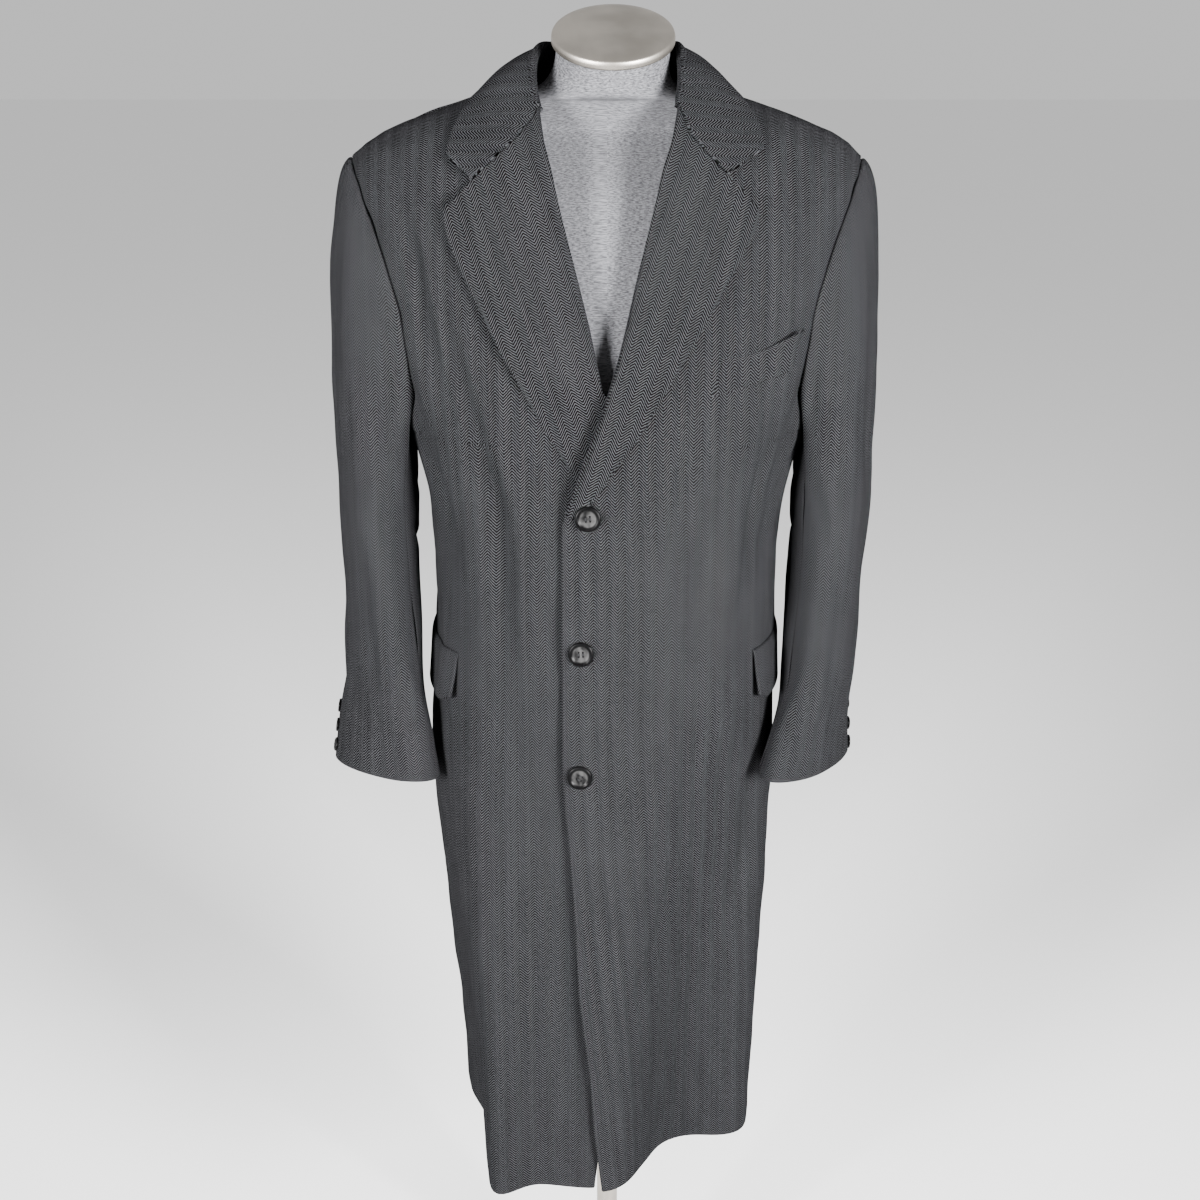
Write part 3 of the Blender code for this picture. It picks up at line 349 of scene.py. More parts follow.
def smooth_step(low, high, value):
    share = np.clip((value - low) / (high - low), 0.0, 1.0)
    return share * share * (3.0 - 2.0 * share)


def along(table, where):
    """Values of a table of pairs at places, straight between its rows."""
    pairs = np.array(table)
    return np.interp(where, pairs[:, 0], pairs[:, 1])


def spline(rows, where):
    """Rows of a table at fractional places, on a smooth curve through its rows."""
    table = np.array(rows)
    last = len(table) - 1
    where = np.clip(np.asarray(where, float), 0.0, last)
    index = np.minimum(where.astype(int), last - 1)
    part = (where - index)[..., None]
    before, here = table[np.maximum(index - 1, 0)], table[index]
    after, beyond = table[index + 1], table[np.minimum(index + 2, last)]
    square, cube = part ** 2, part ** 3
    return (here * (2 * cube - 3 * square + 1) + (after - before) / 2.0 * (cube - 2 * square + part)
            + after * (3 * square - 2 * cube) + (beyond - here) / 2.0 * (cube - square))


def bisect(low, high, short):
    """Bounds of the places where a test of the place turns from true to false."""
    for _ in range(BISECTIONS):
        middle = (low + high) / 2.0
        is_short = short(middle)
        low, high = np.where(is_short, middle, low), np.where(is_short, high, middle)
    return low, high


def unit(vectors):
    return vectors / np.maximum(np.linalg.norm(vectors, axis=-1, keepdims=True), 1e-12)


def run_length(points):
    """Distance along the last but one axis of an array of points, from its start."""
    steps = np.linalg.norm(np.diff(points, axis=-2), axis=-1)
    return np.concatenate([np.zeros(steps.shape[:-1] + (1,)), np.cumsum(steps, axis=-1)], axis=-1)


def run_up(points):
    """Distance up each column of a grid of points, from its first row."""
    return run_length(np.swapaxes(points, 0, 1)).T


def path_point(points, share):
    """Points at shares of a path's length, straight between its corners."""
    corners = np.array(points, float)
    length = run_length(corners)
    where = np.asarray(share, float) * length[-1]
    return np.stack([np.interp(where, length, axis) for axis in corners.T], axis=-1)


def hump(offset):
    """Soft section of a fold: 1 in its middle, 0 from an offset of 1 on."""
    return 0.5 + 0.5 * np.cos(math.pi * np.minimum(np.abs(offset), 1.0))


def fold_push(angle, height):
    """Push of the solids' own folds at angles in degrees and heights."""
    total = np.zeros(np.broadcast(angle, height).shape + (3,))
    for up, low, heading, top, bottom, depth_up, depth_low, half_width in BODY_FOLDS:
        run = (top - height) / (top - bottom)
        ends = smooth_step(0.0, 0.25, run) * (run < 1.06)
        if bottom > HEM_HEIGHT:
            ends = ends * (1.0 - smooth_step(0.7, 1.0, run))
        push = (depth_up + (depth_low - depth_up) * run) * ends * hump((angle - up - (low - up) * run) / half_width)
        turn = math.radians(heading)
        total += push[..., None] * np.array((math.sin(turn), -math.cos(turn), 0.0))
    return total


def crease_lift(creases, where, height):
    """Depth of listed creases, at places and heights: soft in section, tapered at the ends."""
    total = np.zeros(np.broadcast(where, height).shape)
    for up, low, top, bottom, depth, half_width in creases:
        run = (top - height) / (top - bottom)
        inside = np.clip(run, 0.0, 1.0)
        bow = 0.35 * half_width * np.sin(math.pi * inside)
        offset = (where - up - (low - up) * run - bow) / (half_width * (0.8 + 0.4 * inside))
        ends = smooth_step(-0.05, 0.30, run) * (1.0 - smooth_step(0.60, 1.05, run))
        total += 0.001 * depth * ends * hump(offset)
    return CREASE_STRENGTH * total


def body_point(angle, level):
    """Outer face of the body at angles in radians and ring numbers."""
    angle, level = np.broadcast_arrays(np.asarray(angle, float), np.asarray(level, float))
    ring = spline(BODY_RINGS, level)
    sine, cosine = np.sin(angle), np.cos(angle)
    width = np.where(sine > 0.0, ring[..., LEFT], ring[..., RIGHT])
    depth = np.maximum(np.where(cosine > 0.0, ring[..., FRONT], ring[..., BACK]), 0.0003)
    power = 2.0 / ring[..., SQUARE]
    x = np.sign(sine) * width * np.abs(sine) ** power
    y = -np.sign(cosine) * depth * np.abs(cosine) ** power
    height = ring[..., LEVEL] + ring[..., SLOPE] * along(SHOULDER_RISE, np.abs(x))
    return np.stack([x, y, height], axis=-1) + fold_push(np.degrees(angle), height)


def body_normal(angle, level):
    angle, level = np.broadcast_arrays(np.asarray(angle, float), np.asarray(level, float))
    step = NORMAL_STEP
    high = np.minimum(TOP - step, level + step)
    low = np.minimum(np.maximum(0.0, level - step), high - step)
    across = body_point(angle + step, level) - body_point(angle - step, level)
    return unit(np.cross(across, body_point(angle, high) - body_point(angle, low)))


def lifted(angle, level, lift):
    return body_point(angle, level) + body_normal(angle, level) * np.asarray(lift)[..., None]


def angle_at(x, level, behind=False):
    """Angle of distances from the centre at ring numbers."""
    ring = spline(BODY_RINGS, level)
    width = np.where(np.asarray(x) > 0.0, ring[..., LEFT], ring[..., RIGHT])
    angle = np.arcsin(np.minimum(1.0, np.abs(x) / width) ** (ring[..., SQUARE] / 2.0))
    angle = np.where(behind, math.pi - angle, angle)
    return np.where(np.asarray(x) < 0.0, -angle, angle)


def level_at(x, height):
    """Ring number of heights at distances from the centre."""
    rise = along(SHOULDER_RISE, np.abs(x))

    def short(level):
        ring = spline(BODY_RINGS, level)
        return ring[..., LEVEL] + ring[..., SLOPE] * rise < height

    shape = np.broadcast(x, height).shape
    return sum(bisect(np.zeros(shape), np.full(shape, float(TOP)), short)) / 2.0


def on_front(x, height, lift):
    """Points of the front at distances from the centre and heights, moved out, with its own creases."""
    level = level_at(x, height)
    angle = angle_at(x, level)
    return lifted(angle, level, np.asarray(lift) + crease_lift(BODY_CREASES, np.degrees(angle), height))


def shoulder_point(x, y, lift):
    """Points of the outer face at plan positions near the shoulder or the back of the neck."""
    behind = np.asarray(y) > 0.0

    def short(level):
        return np.abs(body_point(angle_at(x, level, behind), level)[..., 1]) > np.abs(y)

    level = bisect(np.full(np.shape(x), ARMPIT), np.full(np.shape(x), float(TOP)), short)[1]
    return lifted(angle_at(x, level, behind), level, lift)


def recess(x, height):
    """How far the right front lies in under the left one, with room there for its own lapel."""
    shade = UNDERLAP_SHADE * smooth_step(-0.085, -0.050, x) * (1.0 - smooth_step(1.00, 1.12, height))
    under = smooth_step(-0.115, -0.060, x) * (WALL + UNDERLAP_ROOM) + shade
    for_lapel = smooth_step(1.08, 1.13, height) * (1.0 - smooth_step(1.27, 1.32, height))
    return under + smooth_step(-0.100, -0.048, x) * for_lapel * (LAPEL_WALL + LAPEL_ROOM)


def panel_end(level, behind):
    """Angle of a panel's side end: the side seam, and the armhole above the armpit."""
    seam = math.radians(along(SIDE_SEAM, min(level, ARMPIT)))
    if level <= ARMPIT:
        return seam
    angle = angle_at(along(ARMHOLE_BACK if behind else ARMHOLE_FRONT, level), level, behind)
    return seam + (angle - seam) * smooth_step(ARMPIT, ARMPIT + 0.15, level)


def front_start(level, side):
    """Distance from the centre where a front begins: its edge below the roll, the roll line above."""
    table = FRONT_EDGE[side] + FRONT_ROLL[side][1:]
    ring = spline(BODY_RINGS, level)
    x = along(table, ring[LEVEL])
    for _ in range(8):
        x = along(table, ring[LEVEL] + ring[SLOPE] * along(SHOULDER_RISE, abs(x)))
    return x


def back_start(level):
    """Distance from the centre where a back begins: the centre seam, and the neckline above it."""
    depth = spline(BODY_RINGS, level)[BACK]
    if depth >= NECK_BACK_DEPTH or level < ARMPIT:
        return GAP
    return max(GAP, NECK_HALF_WIDTH * math.sqrt(1.0 - (depth / NECK_BACK_DEPTH) ** 2))


def close_ended(total, count, near_first, near_last):
    """Distances from 0 to a total, even in between, with the closer ones given for both ends."""
    middle = np.linspace(near_first[-1], total - near_last[-1], count)
    return np.concatenate([near_first[:-1], middle, total - np.array(near_last[:-1])[::-1]])


def steps_between(total, near_first, near_last):
    """Such distances at the usual spacing."""
    inner = total - near_last[-1] - near_first[-1]
    return close_ended(total, max(2, int(round(inner / SPACING)) + 1), near_first, near_last)


def spread_rows(surface, places, starts, stops, count, near_first, near_last):
    """Grids of the places along each row of a surface at even distances, and of the distances from its ends."""
    rows = []
    for place, start, stop in zip(places, starts, stops):
        fine = np.linspace(start, stop, 160)
        length = run_length(surface(fine, place))
        middle = count - len(near_first) - len(near_last) + 2
        distance = close_ended(length[-1], middle, near_first, near_last)
        rows.append((np.interp(distance, length, fine), distance, length[-1] - distance))
    return np.moveaxis(np.array(rows), 1, 0)


def seam_dip(distance):
    return -SEAM_DIP * np.exp(-(distance / SEAM_WIDTH) ** 2)


def unevenness(cloth, seed, size):
    """Soft unevenness of the sheet in metres at its cloth coordinates, the same each run."""
    random = np.random.default_rng(seed)
    total = np.zeros(cloth.shape[:-1])
    for wave in np.linspace(0.030, LONGEST_WAVE, 9):
        direction, phase = random.uniform(0.0, 2.0 * math.pi, 2)
        stretch = 0.55 + 0.45 * abs(math.cos(direction))
        turned = cloth[..., 0] * math.cos(direction) + cloth[..., 1] * math.sin(direction) * stretch
        total += np.sin(2.0 * math.pi * turned / wave + phase) * wave / LONGEST_WAVE
    return size * total


def relax(points, flat, rounds):
    """Cloth coordinates of a grid moved until its links have their lengths on the surface."""
    every, later, sooner = slice(None), slice(1, None), slice(None, -1)
    links = (((every, sooner), (every, later)), ((sooner, every), (later, every)),
             ((sooner, sooner), (later, later)), ((sooner, later), (later, sooner)))
    lengths = [np.linalg.norm(points[last] - points[first], axis=-1) for first, last in links]
    for _ in range(rounds):
        move, count = np.zeros_like(flat), np.zeros(flat.shape[:2])
        for (first, last), length in zip(links, lengths):
            gap = flat[last] - flat[first]
            push = gap * (0.5 - 0.5 * length / np.maximum(np.linalg.norm(gap, axis=-1), 1e-9))[..., None]
            move[first] += push
            move[last] -= push
            count[first] += 1.0
            count[last] += 1.0
        flat = flat + 1.6 * move / count[..., None]
    return flat


def flatten(points, guess):
    """Cloth coordinates of a grid as its cut piece has them laid flat, found coarsely first and then finely."""
    lengths = [run_length(points[:, points.shape[1] // 2]), run_length(points[points.shape[0] // 2])]
    picked = [np.unique([int(np.argmin(np.abs(length - place)))
                         for place in np.linspace(0.0, length[-1], int(length[-1] / COARSE_PITCH) + 2)])
              for length in lengths]
    coarse = np.ix_(*picked)
    change = relax(points[coarse], guess[coarse], 900) - guess[coarse]
    for axis in (1, 0):
        change = np.apply_along_axis(lambda line: np.interp(lengths[axis], lengths[axis][picked[axis]], line),
                                     axis, change)
    return relax(points, guess + change, 500)


class Sheet:
    """A sheet of cloth as a grid of points with cloth coordinates, rows by columns."""

    def __init__(self, points, cloth, flip=False):
        self.points, self.cloth, self.flip = points, cloth, flip

    def normals(self):
        normals = unit(np.cross(np.gradient(self.points, axis=1), np.gradient(self.points, axis=0)))
        return -normals if self.flip else normals

    def push(self, lift):
        self.points = self.points + self.normals() * lift[..., None]

    def extend(self, side, steps, kept):
        """Puts rows beyond a side, before its own rows from a number on. A step gives how far out and how far
        down from the side its row lies, and the run of cloth up to it."""
        is_column, is_last = side.endswith("col"), side.startswith("last")
        grids = [np.swapaxes(grid, 0, 1) if is_column else grid
                 for grid in (self.points, self.cloth, self.normals())]
        points, cloth, normals = [grid[::-1] if is_last else grid for grid in grids]
        normal, outward = normals[0], points[0] - points[1]
        drift = (cloth[0] - cloth[1]) / np.maximum(np.linalg.norm(outward, axis=-1, keepdims=True), 1e-6)
        outward = unit(outward - normal * np.sum(outward * normal, axis=-1, keepdims=True))
        rows, flats = [], []
        for step in steps:
            out, down, run = [np.broadcast_to(part, normal.shape[:-1])[..., None] for part in step]
            rows.append(points[0] + outward * out - normal * down)
            flats.append(cloth[0] + drift * run)
        grids = [np.concatenate([rows, points[kept:]]), np.concatenate([flats, cloth[kept:]])]
        grids = [grid[::-1] if is_last else grid for grid in grids]
        self.points, self.cloth = [np.swapaxes(grid, 0, 1) if is_column else grid for grid in grids]

    def tuck(self, side, reach=TUCK_REACH, depth=TUCK_DEPTH):
        """Takes one side down into its seam and on beneath the piece beside it, as a seam allowance."""
        self.extend(side, [(reach * out, depth * down, reach * out + depth * down) for out, down in TUCK_STEPS], 0)

    def roll(self, side, radius=EDGE_RADIUS, under=TURNED_UNDER):
        """Turns one side under itself: round a bend of the radius, which may differ along the side."""
        steps = [(-radius - under, 2.0 * radius, math.pi * radius + under)] if under else []
        steps += [(radius * (math.sin(bend) - 1.0), radius * (1.0 - math.cos(bend)), radius * bend)
                  for bend in np.radians(np.arange(180.0, 0.0, -30.0))]
        self.extend(side, steps + [(-radius, 0.0, 0.0)], 1)


def new_object(name, data):
    thing = bpy.data.objects.new(name, data)
    bpy.context.scene.collection.objects.link(thing)
    return thing


def mesh_from(name, vertices, faces, cloth=None, smooth=True):
    data = bpy.data.meshes.new(name)
    data.from_pydata([tuple(vertex) for vertex in vertices], [], faces)
    if cloth is not None:
        layer = data.uv_layers.new(name="Cloth")
        order = np.zeros(len(data.loops), dtype=int)
        data.loops.foreach_get("vertex_index", order)
        layer.data.foreach_set("uv", np.asarray(cloth)[order].astype(np.float32).ravel())
    if smooth:
        data.shade_smooth()
    return new_object(name, data)


def grid_faces(rows, columns, flip):
    faces = []
    for low in range(0, (rows - 1) * columns, columns):
        for first in range(low, low + columns - 1):
            face = (first, first + 1, first + columns + 1, first + columns)
            faces.append(face[::-1] if flip else face)
    return faces


def finish_piece(thing, node, slot):
    thing.data.materials.append(MATERIALS[slot])
    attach(thing, "root")
    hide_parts(node)


def cloth_piece(name, node, sheet):
    """Piece of cloth from a sheet: thickened inwards, riding on the body, carrying its cloth coordinates."""
    thing = mesh_from(name, sheet.points.reshape(-1, 3), grid_faces(*sheet.points.shape[:2], sheet.flip),
                      sheet.cloth.reshape(-1, 2))
    solidify = thing.modifiers.new("Cloth thickness", "SOLIDIFY")
    solidify.thickness = SHEET
    solidify.offset = -1.0
    finish_piece(thing, node, "herringbone_wool")


def body_panel(levels, starts, stops, count, near_first, grain_place, extra_lift):
    """Grid of a body panel between two angles at each level, with cloth coordinates from its grain line."""
    angles, firsts, lasts = spread_rows(body_point, levels, starts, stops, count, near_first, SEAM_STEPS)
    level_grid = np.repeat(np.array(levels)[:, None], count, axis=1)
    base = body_point(angles, level_grid)
    rising = np.maximum.accumulate(np.abs(base[..., 0]), axis=1) + np.arange(count) * 1e-9
    shift = np.array([np.interp(grain_place, row, run) for row, run in zip(rising, firsts)])
    grain_line = np.array([[np.interp(s, run, axis) for axis in row.T] for s, run, row in zip(shift, firsts, base)])
    up = np.repeat(run_length(grain_line)[:, None], count, axis=1)
    lift = crease_lift(BODY_CREASES, np.degrees(angles), base[..., 2]) + extra_lift(base, firsts, lasts)
    return lifted(angles, level_grid, lift), np.stack([firsts - shift[:, None], up], axis=-1)


def panel_levels(angle):
    """Ring numbers at even distances up a body panel, close together at the armpit and the shoulder."""
    place = np.linspace(0.0, float(TOP), 1200)
    length = run_length(body_point(angle, place))
    levels = np.interp(steps_between(length[-1], EDGE_STEPS, SEAM_STEPS), length, place)
    return np.sort(np.append(levels, ARMPIT + np.array((0.0, 0.06, 0.12, 0.2))))


def shoulder_seam(levels):
    return -SEAM_DIP * np.exp(-((TOP - levels) / 0.10) ** 2)[:, None]


def kept_rows(values, sheet):
    """Values of the rows of a sheet, with the last one repeated for the rows added to it."""
    return np.append(values, np.full(len(sheet.points) - len(values), values[-1]))


def make_front(side):
    sign = SIGN[side]
    levels = panel_levels(sign * PANEL_MIDDLE)
    starts = [angle_at(front_start(level, side), level) for level in levels]
    stops = [sign * (panel_end(level, False) - SIDE_GAP) for level in levels]

    def extra_lift(base, _, last):
        inwards = recess(base[..., 0], base[..., 2]) if side == "right" else 0.0
        return seam_dip(last) - inwards + shoulder_seam(levels)

    points, cloth = body_panel(levels, starts, stops, FRONT_COLUMNS, EDGE_STEPS, 0.09, extra_lift)
    cloth[..., 0] += 0.25 * COLUMN
    sheet = Sheet(points, cloth, flip=sign < 0.0)
    sheet.push(unevenness(cloth, 11 if side == "left" else 12, PANEL_UNEVENNESS))
    sheet.tuck("last_col", reach=np.where(levels < ARMPIT, TUCK_REACH, 0.0002))
    sheet.tuck("last_row")
    roll_start = FRONT_ROLL[side][0][0]
    below = 1.0 - smooth_step(roll_start - 0.03, roll_start + 0.01, sheet.points[:, 0, 2])
    sheet.roll("first_row")
    radius = np.concatenate([np.full(len(sheet.points) - len(below), below[0]), below])
    sheet.roll("first_col", radius=0.0004 + (EDGE_RADIUS - 0.0004) * radius, under=0.0)
    cloth_piece("front_panel_" + side, "front_" + side, sheet)


def make_back(side):
    sign = SIGN[side]
    levels = panel_levels(sign * (math.pi - PANEL_MIDDLE))
    starts = [sign * abs(angle_at(back_start(level), level, True)) for level in levels]
    stops = [sign * (panel_end(level, True) + SIDE_GAP) for level in levels]

    def extra_lift(base, first, last):
        return seam_dip(last) + seam_dip(first) * (base[..., 2] < 1.53) + shoulder_seam(levels)

    points, cloth = body_panel(levels, starts, stops, BACK_COLUMNS, SEAM_STEPS, 0.06, extra_lift)
    sheet = Sheet(points, cloth, flip=sign > 0.0)
    sheet.push(unevenness(cloth, 21 if side == "left" else 22, PANEL_UNEVENNESS))
    if side == "left":
        sheet.tuck("first_col", reach=np.where(sheet.points[:, 0, 2] < 1.52, TUCK_REACH, 0.0002))
    sheet.roll("first_row")
    cloth_piece("back_panel_" + side, "back_" + side, sheet)


def make_lapel(side):
    sign, lapel = SIGN[side], LAPELS[side]
    roll = [(x, z) for z, x in FRONT_ROLL[side] if z < 1.5] + [lapel["top"][0]]
    shares = np.linspace(lapel["low_end"], 1.0, 90)
    places = np.concatenate([[0.0, 0.03, 0.06, 0.10, 0.15], np.linspace(0.21, 0.93, 22), [0.97, 1.0]])
    inner, outer = smoothed(path_point(roll, shares)), smoothed(path_point(lapel["outer"], shares))
    share, place = np.meshgrid(shares, places, indexing="ij")
    flat = inner[:, None] + (outer - inner)[:, None] * places[None, :, None]
    chord = inner[-1] + (outer[-1] - inner[-1]) * places[:, None]
    flat = flat + (path_point(lapel["top"], places) - chord)[None] * (shares ** 5)[:, None, None]
    puff = LAPEL_PUFF * np.exp(-(place / 0.12) ** 2) + LAPEL_STAND * place ** 3
    lift = LAPEL_WALL + 2.0 * GAP
    if side == "right":
        lift = lift - recess(flat[..., 0], flat[..., 1])
        puff = puff * smooth_step(1.22, 1.30, flat[..., 1])
    else:
        near_button = 1.0 - smooth_step(0.0, 0.14, share)
        lift = lift - (LAPEL_WALL - 0.0012) * near_button
        puff = puff * (1.0 - near_button)
    calm = 1.0 - smooth_step(0.80, 0.97, share)
    ripple = 0.0010 * np.sin(9.0 * share + (1.0 if side == "left" else 2.6)) * place ** 2 * calm
    points = on_front(flat[..., 0], flat[..., 1], lift + puff + ripple * smooth_step(0.2, 0.5, share))
    cloth = chest_pattern(flat[..., 0], flat[..., 1], sign)
    sheet = Sheet(points, cloth, flip=sign < 0.0)
    sheet.push(unevenness(cloth, 31 if side == "left" else 32, SMALL_UNEVENNESS) * calm)
    sheet.roll("last_col")
    place = np.append(places, np.full(sheet.points.shape[1] - len(places), places[-1]))
    sheet.tuck("last_row", LAPEL_ALLOWANCE * (1.0 - smooth_step(0.60, 0.68, place)) + 0.0001, LAPEL_TOP_DEPTH)
    rise = kept_rows(smooth_step(0.0, 0.16, shares), sheet)
    sheet.roll("first_col", radius=0.0008 + (ROLL_RADIUS - 0.0008) * rise, under=0.0)
    cloth_piece("lapel_facing_" + side, "lapel_" + side, sheet)


def chest_pattern(x, height, sign):
    """Cloth coordinates of places on the chest as if it were laid flat, with the grain leaning outwards."""
    fan = on_front(x[..., None] * np.linspace(0.0, 1.0, 20), height[..., None] * np.ones(20), 0.0)
    across = np.sign(x) * sign * run_length(fan)[..., -1]
    heights = np.linspace(1.05, 1.53, 100)
    up = np.interp(height, heights, run_length(on_front(np.full(100, sign * 0.09), heights, 0.0)))
    cosine, sine = math.cos(LAPEL_GRAIN), math.sin(LAPEL_GRAIN)
    return np.stack([across * cosine - up * sine, across * sine + up * cosine], axis=-1)


def smoothed(points):
    """A path with its corners rounded, its ends kept."""
    for _ in range(4):
        middle = (points[:-2] + 2.0 * points[1:-1] + points[2:]) / 4.0
        points = np.concatenate([points[:1], middle, points[-1:]])
    return points


def collar_sections(side, places):
    """Sections of the collar from the foot of its stand over the fold to the edge of its fall."""
    sign, last, top, point = SIGN[side], COLLAR_END, LAPELS[side]["top"], COLLAR_POINT[side]
    is_sunk = 1.0 if side == "right" else 0.0
    front_share = smooth_step(last - 2.2, last, places)[:, None]
    to_end = smooth_step(last - 1.0, last, places)[:, None]
    flat_share = smooth_step(last - COLLAR_FLAT_END, last, places)[:, None]
    fold = spline(COLLAR_FOLD, np.minimum(places, last - 0.001))
    shift = COLLAR_SHIFT * np.minimum(1.0, fold[:, 0] / 0.06) * (1.0 - smooth_step(2.5, 4.0, places))
    fold = np.stack([sign * fold[:, 0] + shift, fold[:, 1], fold[:, 2]], axis=-1)

    def on_gorge(spot, lift):
        return on_front(spot[0] + sign * GORGE_GAP, spot[1] + GORGE_GAP, lift - is_sunk * recess(spot[0], spot[1]))

    end = on_gorge(top[0], COLLAR_END_LIFT)
    fold = fold + (end - fold) * to_end
    plan = spline(COLLAR_EDGE, places)
    edge = shoulder_point(sign * plan[:, 0], plan[:, 1], COLLAR_LIFT)
    edge = edge + (on_front(point[0], point[1], COLLAR_LIFT + LAPEL_STAND) - edge) * to_end
    outward = unit(np.stack([fold[:, 0] - COLLAR_SHIFT, fold[:, 1] - 0.012 + 0.05 * front_share[:, 0],
                             np.zeros(len(places))], axis=-1))
    upward = unit(np.array((0.0, 0.0, 1.0)) + np.array((0.0, -0.55, -0.17)) * front_share)
    radius = FOLD_RADIUS + (FRONT_FOLD_RADIUS - FOLD_RADIUS) * front_share
    inner = fold - outward * radius - upward * radius
    outer = fold + outward * radius - upward * radius
    outer = above_body(outer, COLLAR_LIFT - is_sunk * recess(outer[:, 0], outer[:, 2]) * to_end[:, 0])
    foot = inner - upward * along(COLLAR_STAND, places)[:, None] + outward * along(COLLAR_LEAN, places)[:, None]
    stand_rows = np.stack([foot, (foot + inner) / 2.0, inner, fold, outer], axis=1)
    knots = np.concatenate([np.linspace(0.0, 2.0, 9)[:-1], np.linspace(2.0, 4.0, 15)])
    rows = [spline(section, knots) for section in stand_rows]
    falls = []
    for step in np.linspace(0.0, 1.0, COLLAR_STEPS + 1)[1:]:
        bulge = COLLAR_BULGE * math.sin(math.pi * step) * (1.0 - flat_share)
        here = outer + (edge - outer) * step + upward * bulge
        end_here = on_gorge(path_point(top[:3] + (point,), step),
                            COLLAR_LIFT + (COLLAR_END_LIFT - COLLAR_LIFT) * math.exp(-(step / 0.14) ** 2)
                            + LAPEL_STAND * min(0.95 * step, 0.70) ** 3 + COLLAR_END_CLEAR * min(1.0, step / 0.08))
        straight = end + (on_front(point[0], point[1], COLLAR_LIFT) - end) * step
        shifted = here + (end_here - straight) * flat_share ** 1.5
        shifted = shifted + (end_here - shifted) * smooth_step(last - 0.7, last, places)[:, None]
        sunk = is_sunk * recess(shifted[:, 0], shifted[:, 2]) * flat_share[:, 0]
        falls.append(above_body(shifted, COLLAR_LIFT - sunk))
    return np.concatenate([np.stack(rows), np.stack(falls, axis=1)], axis=1)


def above_body(points, lift):
    """The points themselves, or the nearest ones that clear the panels below by the lift."""
    x, y = points[:, 0], np.where(np.abs(points[:, 1]) < 0.001, 0.001, points[:, 1])
    surface, raised = shoulder_point(x, y, 0.0), shoulder_point(x, y, lift)
    least = np.sum((raised - surface) ** 2, axis=-1) / np.maximum(raised[:, 2] - surface[:, 2], 0.0008)
    return np.stack([points[:, 0], points[:, 1], np.maximum(points[:, 2], surface[:, 2] + least)], axis=-1)


def make_collar():
    half = np.concatenate([np.linspace(0.0, COLLAR_END - 0.3, 58), COLLAR_END - np.array((0.2, 0.1, 0.0))])
    right = collar_sections("right", half)[:0:-1]
    points = np.concatenate([right, collar_sections("left", half)])
    columns = points.shape[1]
    length = run_length(points[:, columns - COLLAR_STEPS // 2])
    length = length - length[len(right)]
    cloth = flatten(points, np.stack([np.repeat(length[:, None], columns, axis=1), -run_length(points)], axis=-1))
    sheet = Sheet(points, cloth, flip=True)
    ends = np.minimum(length - length[0], length[-1] - length)
    sheet.push(unevenness(cloth, 41, SMALL_UNEVENNESS) * smooth_step(0.0, 0.03, ends)[:, None])
    sheet.roll("last_col")
    step = np.clip((np.arange(sheet.points.shape[1]) - columns + COLLAR_STEPS) / COLLAR_STEPS, 0.0, 1.0)
    radius = 0.0002 + (COLLAR_END_RADIUS - 0.0002) * smooth_step(0.0, 0.15, step)
    sheet.roll("first_row", radius=radius, under=0.0)
    sheet.roll("last_row", radius=radius, under=0.0)
    cloth_piece("collar_top", "collar", sheet)


def sleeve_ring(side, place, turn):
    """Sleeve below the armpit at fractional rings and turns, from its outer line round by its front."""
    sign = SIGN[side]
    height, centre_x, centre_y, across, deep, turned = np.moveaxis(spline(SLEEVE_RINGS[side], place), -1, 0)
    twist, phase = np.radians(turned), 2.0 * math.pi * turn
    zero = np.zeros_like(twist)
    sideways = np.stack([sign * np.cos(twist), -np.sin(twist), zero], axis=-1)
    forward = np.stack([-sign * np.sin(twist), -np.cos(twist), zero], axis=-1)
    centre = np.stack([sign * centre_x, centre_y, height], axis=-1)
    return centre + sideways * (across * np.cos(phase))[..., None] + forward * (deep * np.sin(phase))[..., None]


def armhole_paths(side):
    levels = np.linspace(TOP, ARMPIT, 57)
    return [body_point(np.array([SIGN[side] * panel_end(level, behind) for level in levels]), levels)
            for behind in (False, True)]


def sleeve_point(side, turn, place, paths):
    """Sleeve from the armhole (place -1) by the armpit's ring (0) to the cuff (the last ring)."""
    turn, place = np.broadcast_arrays(np.asarray(turn, float) % 1.0, np.asarray(place, float))
    share = np.clip(place + 1.0, 0.0, 1.0)
    top = np.cos(2.0 * math.pi * turn)
    start = np.where((turn <= 0.5)[..., None], path_point(paths[0], np.clip(turn / 0.5, 0.0, 1.0)),
                     path_point(paths[1], np.clip((1.0 - turn) / 0.5, 0.0, 1.0)))
    start = start + np.array((SIGN[side], 0.0, 0.0)) * (GAP + ARMPIT_GAP * (0.5 - 0.5 * top) ** 4)[..., None]
    stop = sleeve_ring(side, np.zeros_like(place), turn)
    upper = start + (stop - start) * (1.0 - (1.0 - share) ** (2.1 + 1.1 * top))[..., None]
    upper[..., 2] = start[..., 2] + (stop[..., 2] - start[..., 2]) * share ** (1.3 + 0.3 * top)
    return np.where((place < 0.0)[..., None], upper, sleeve_ring(side, np.maximum(place, 0.0), turn))


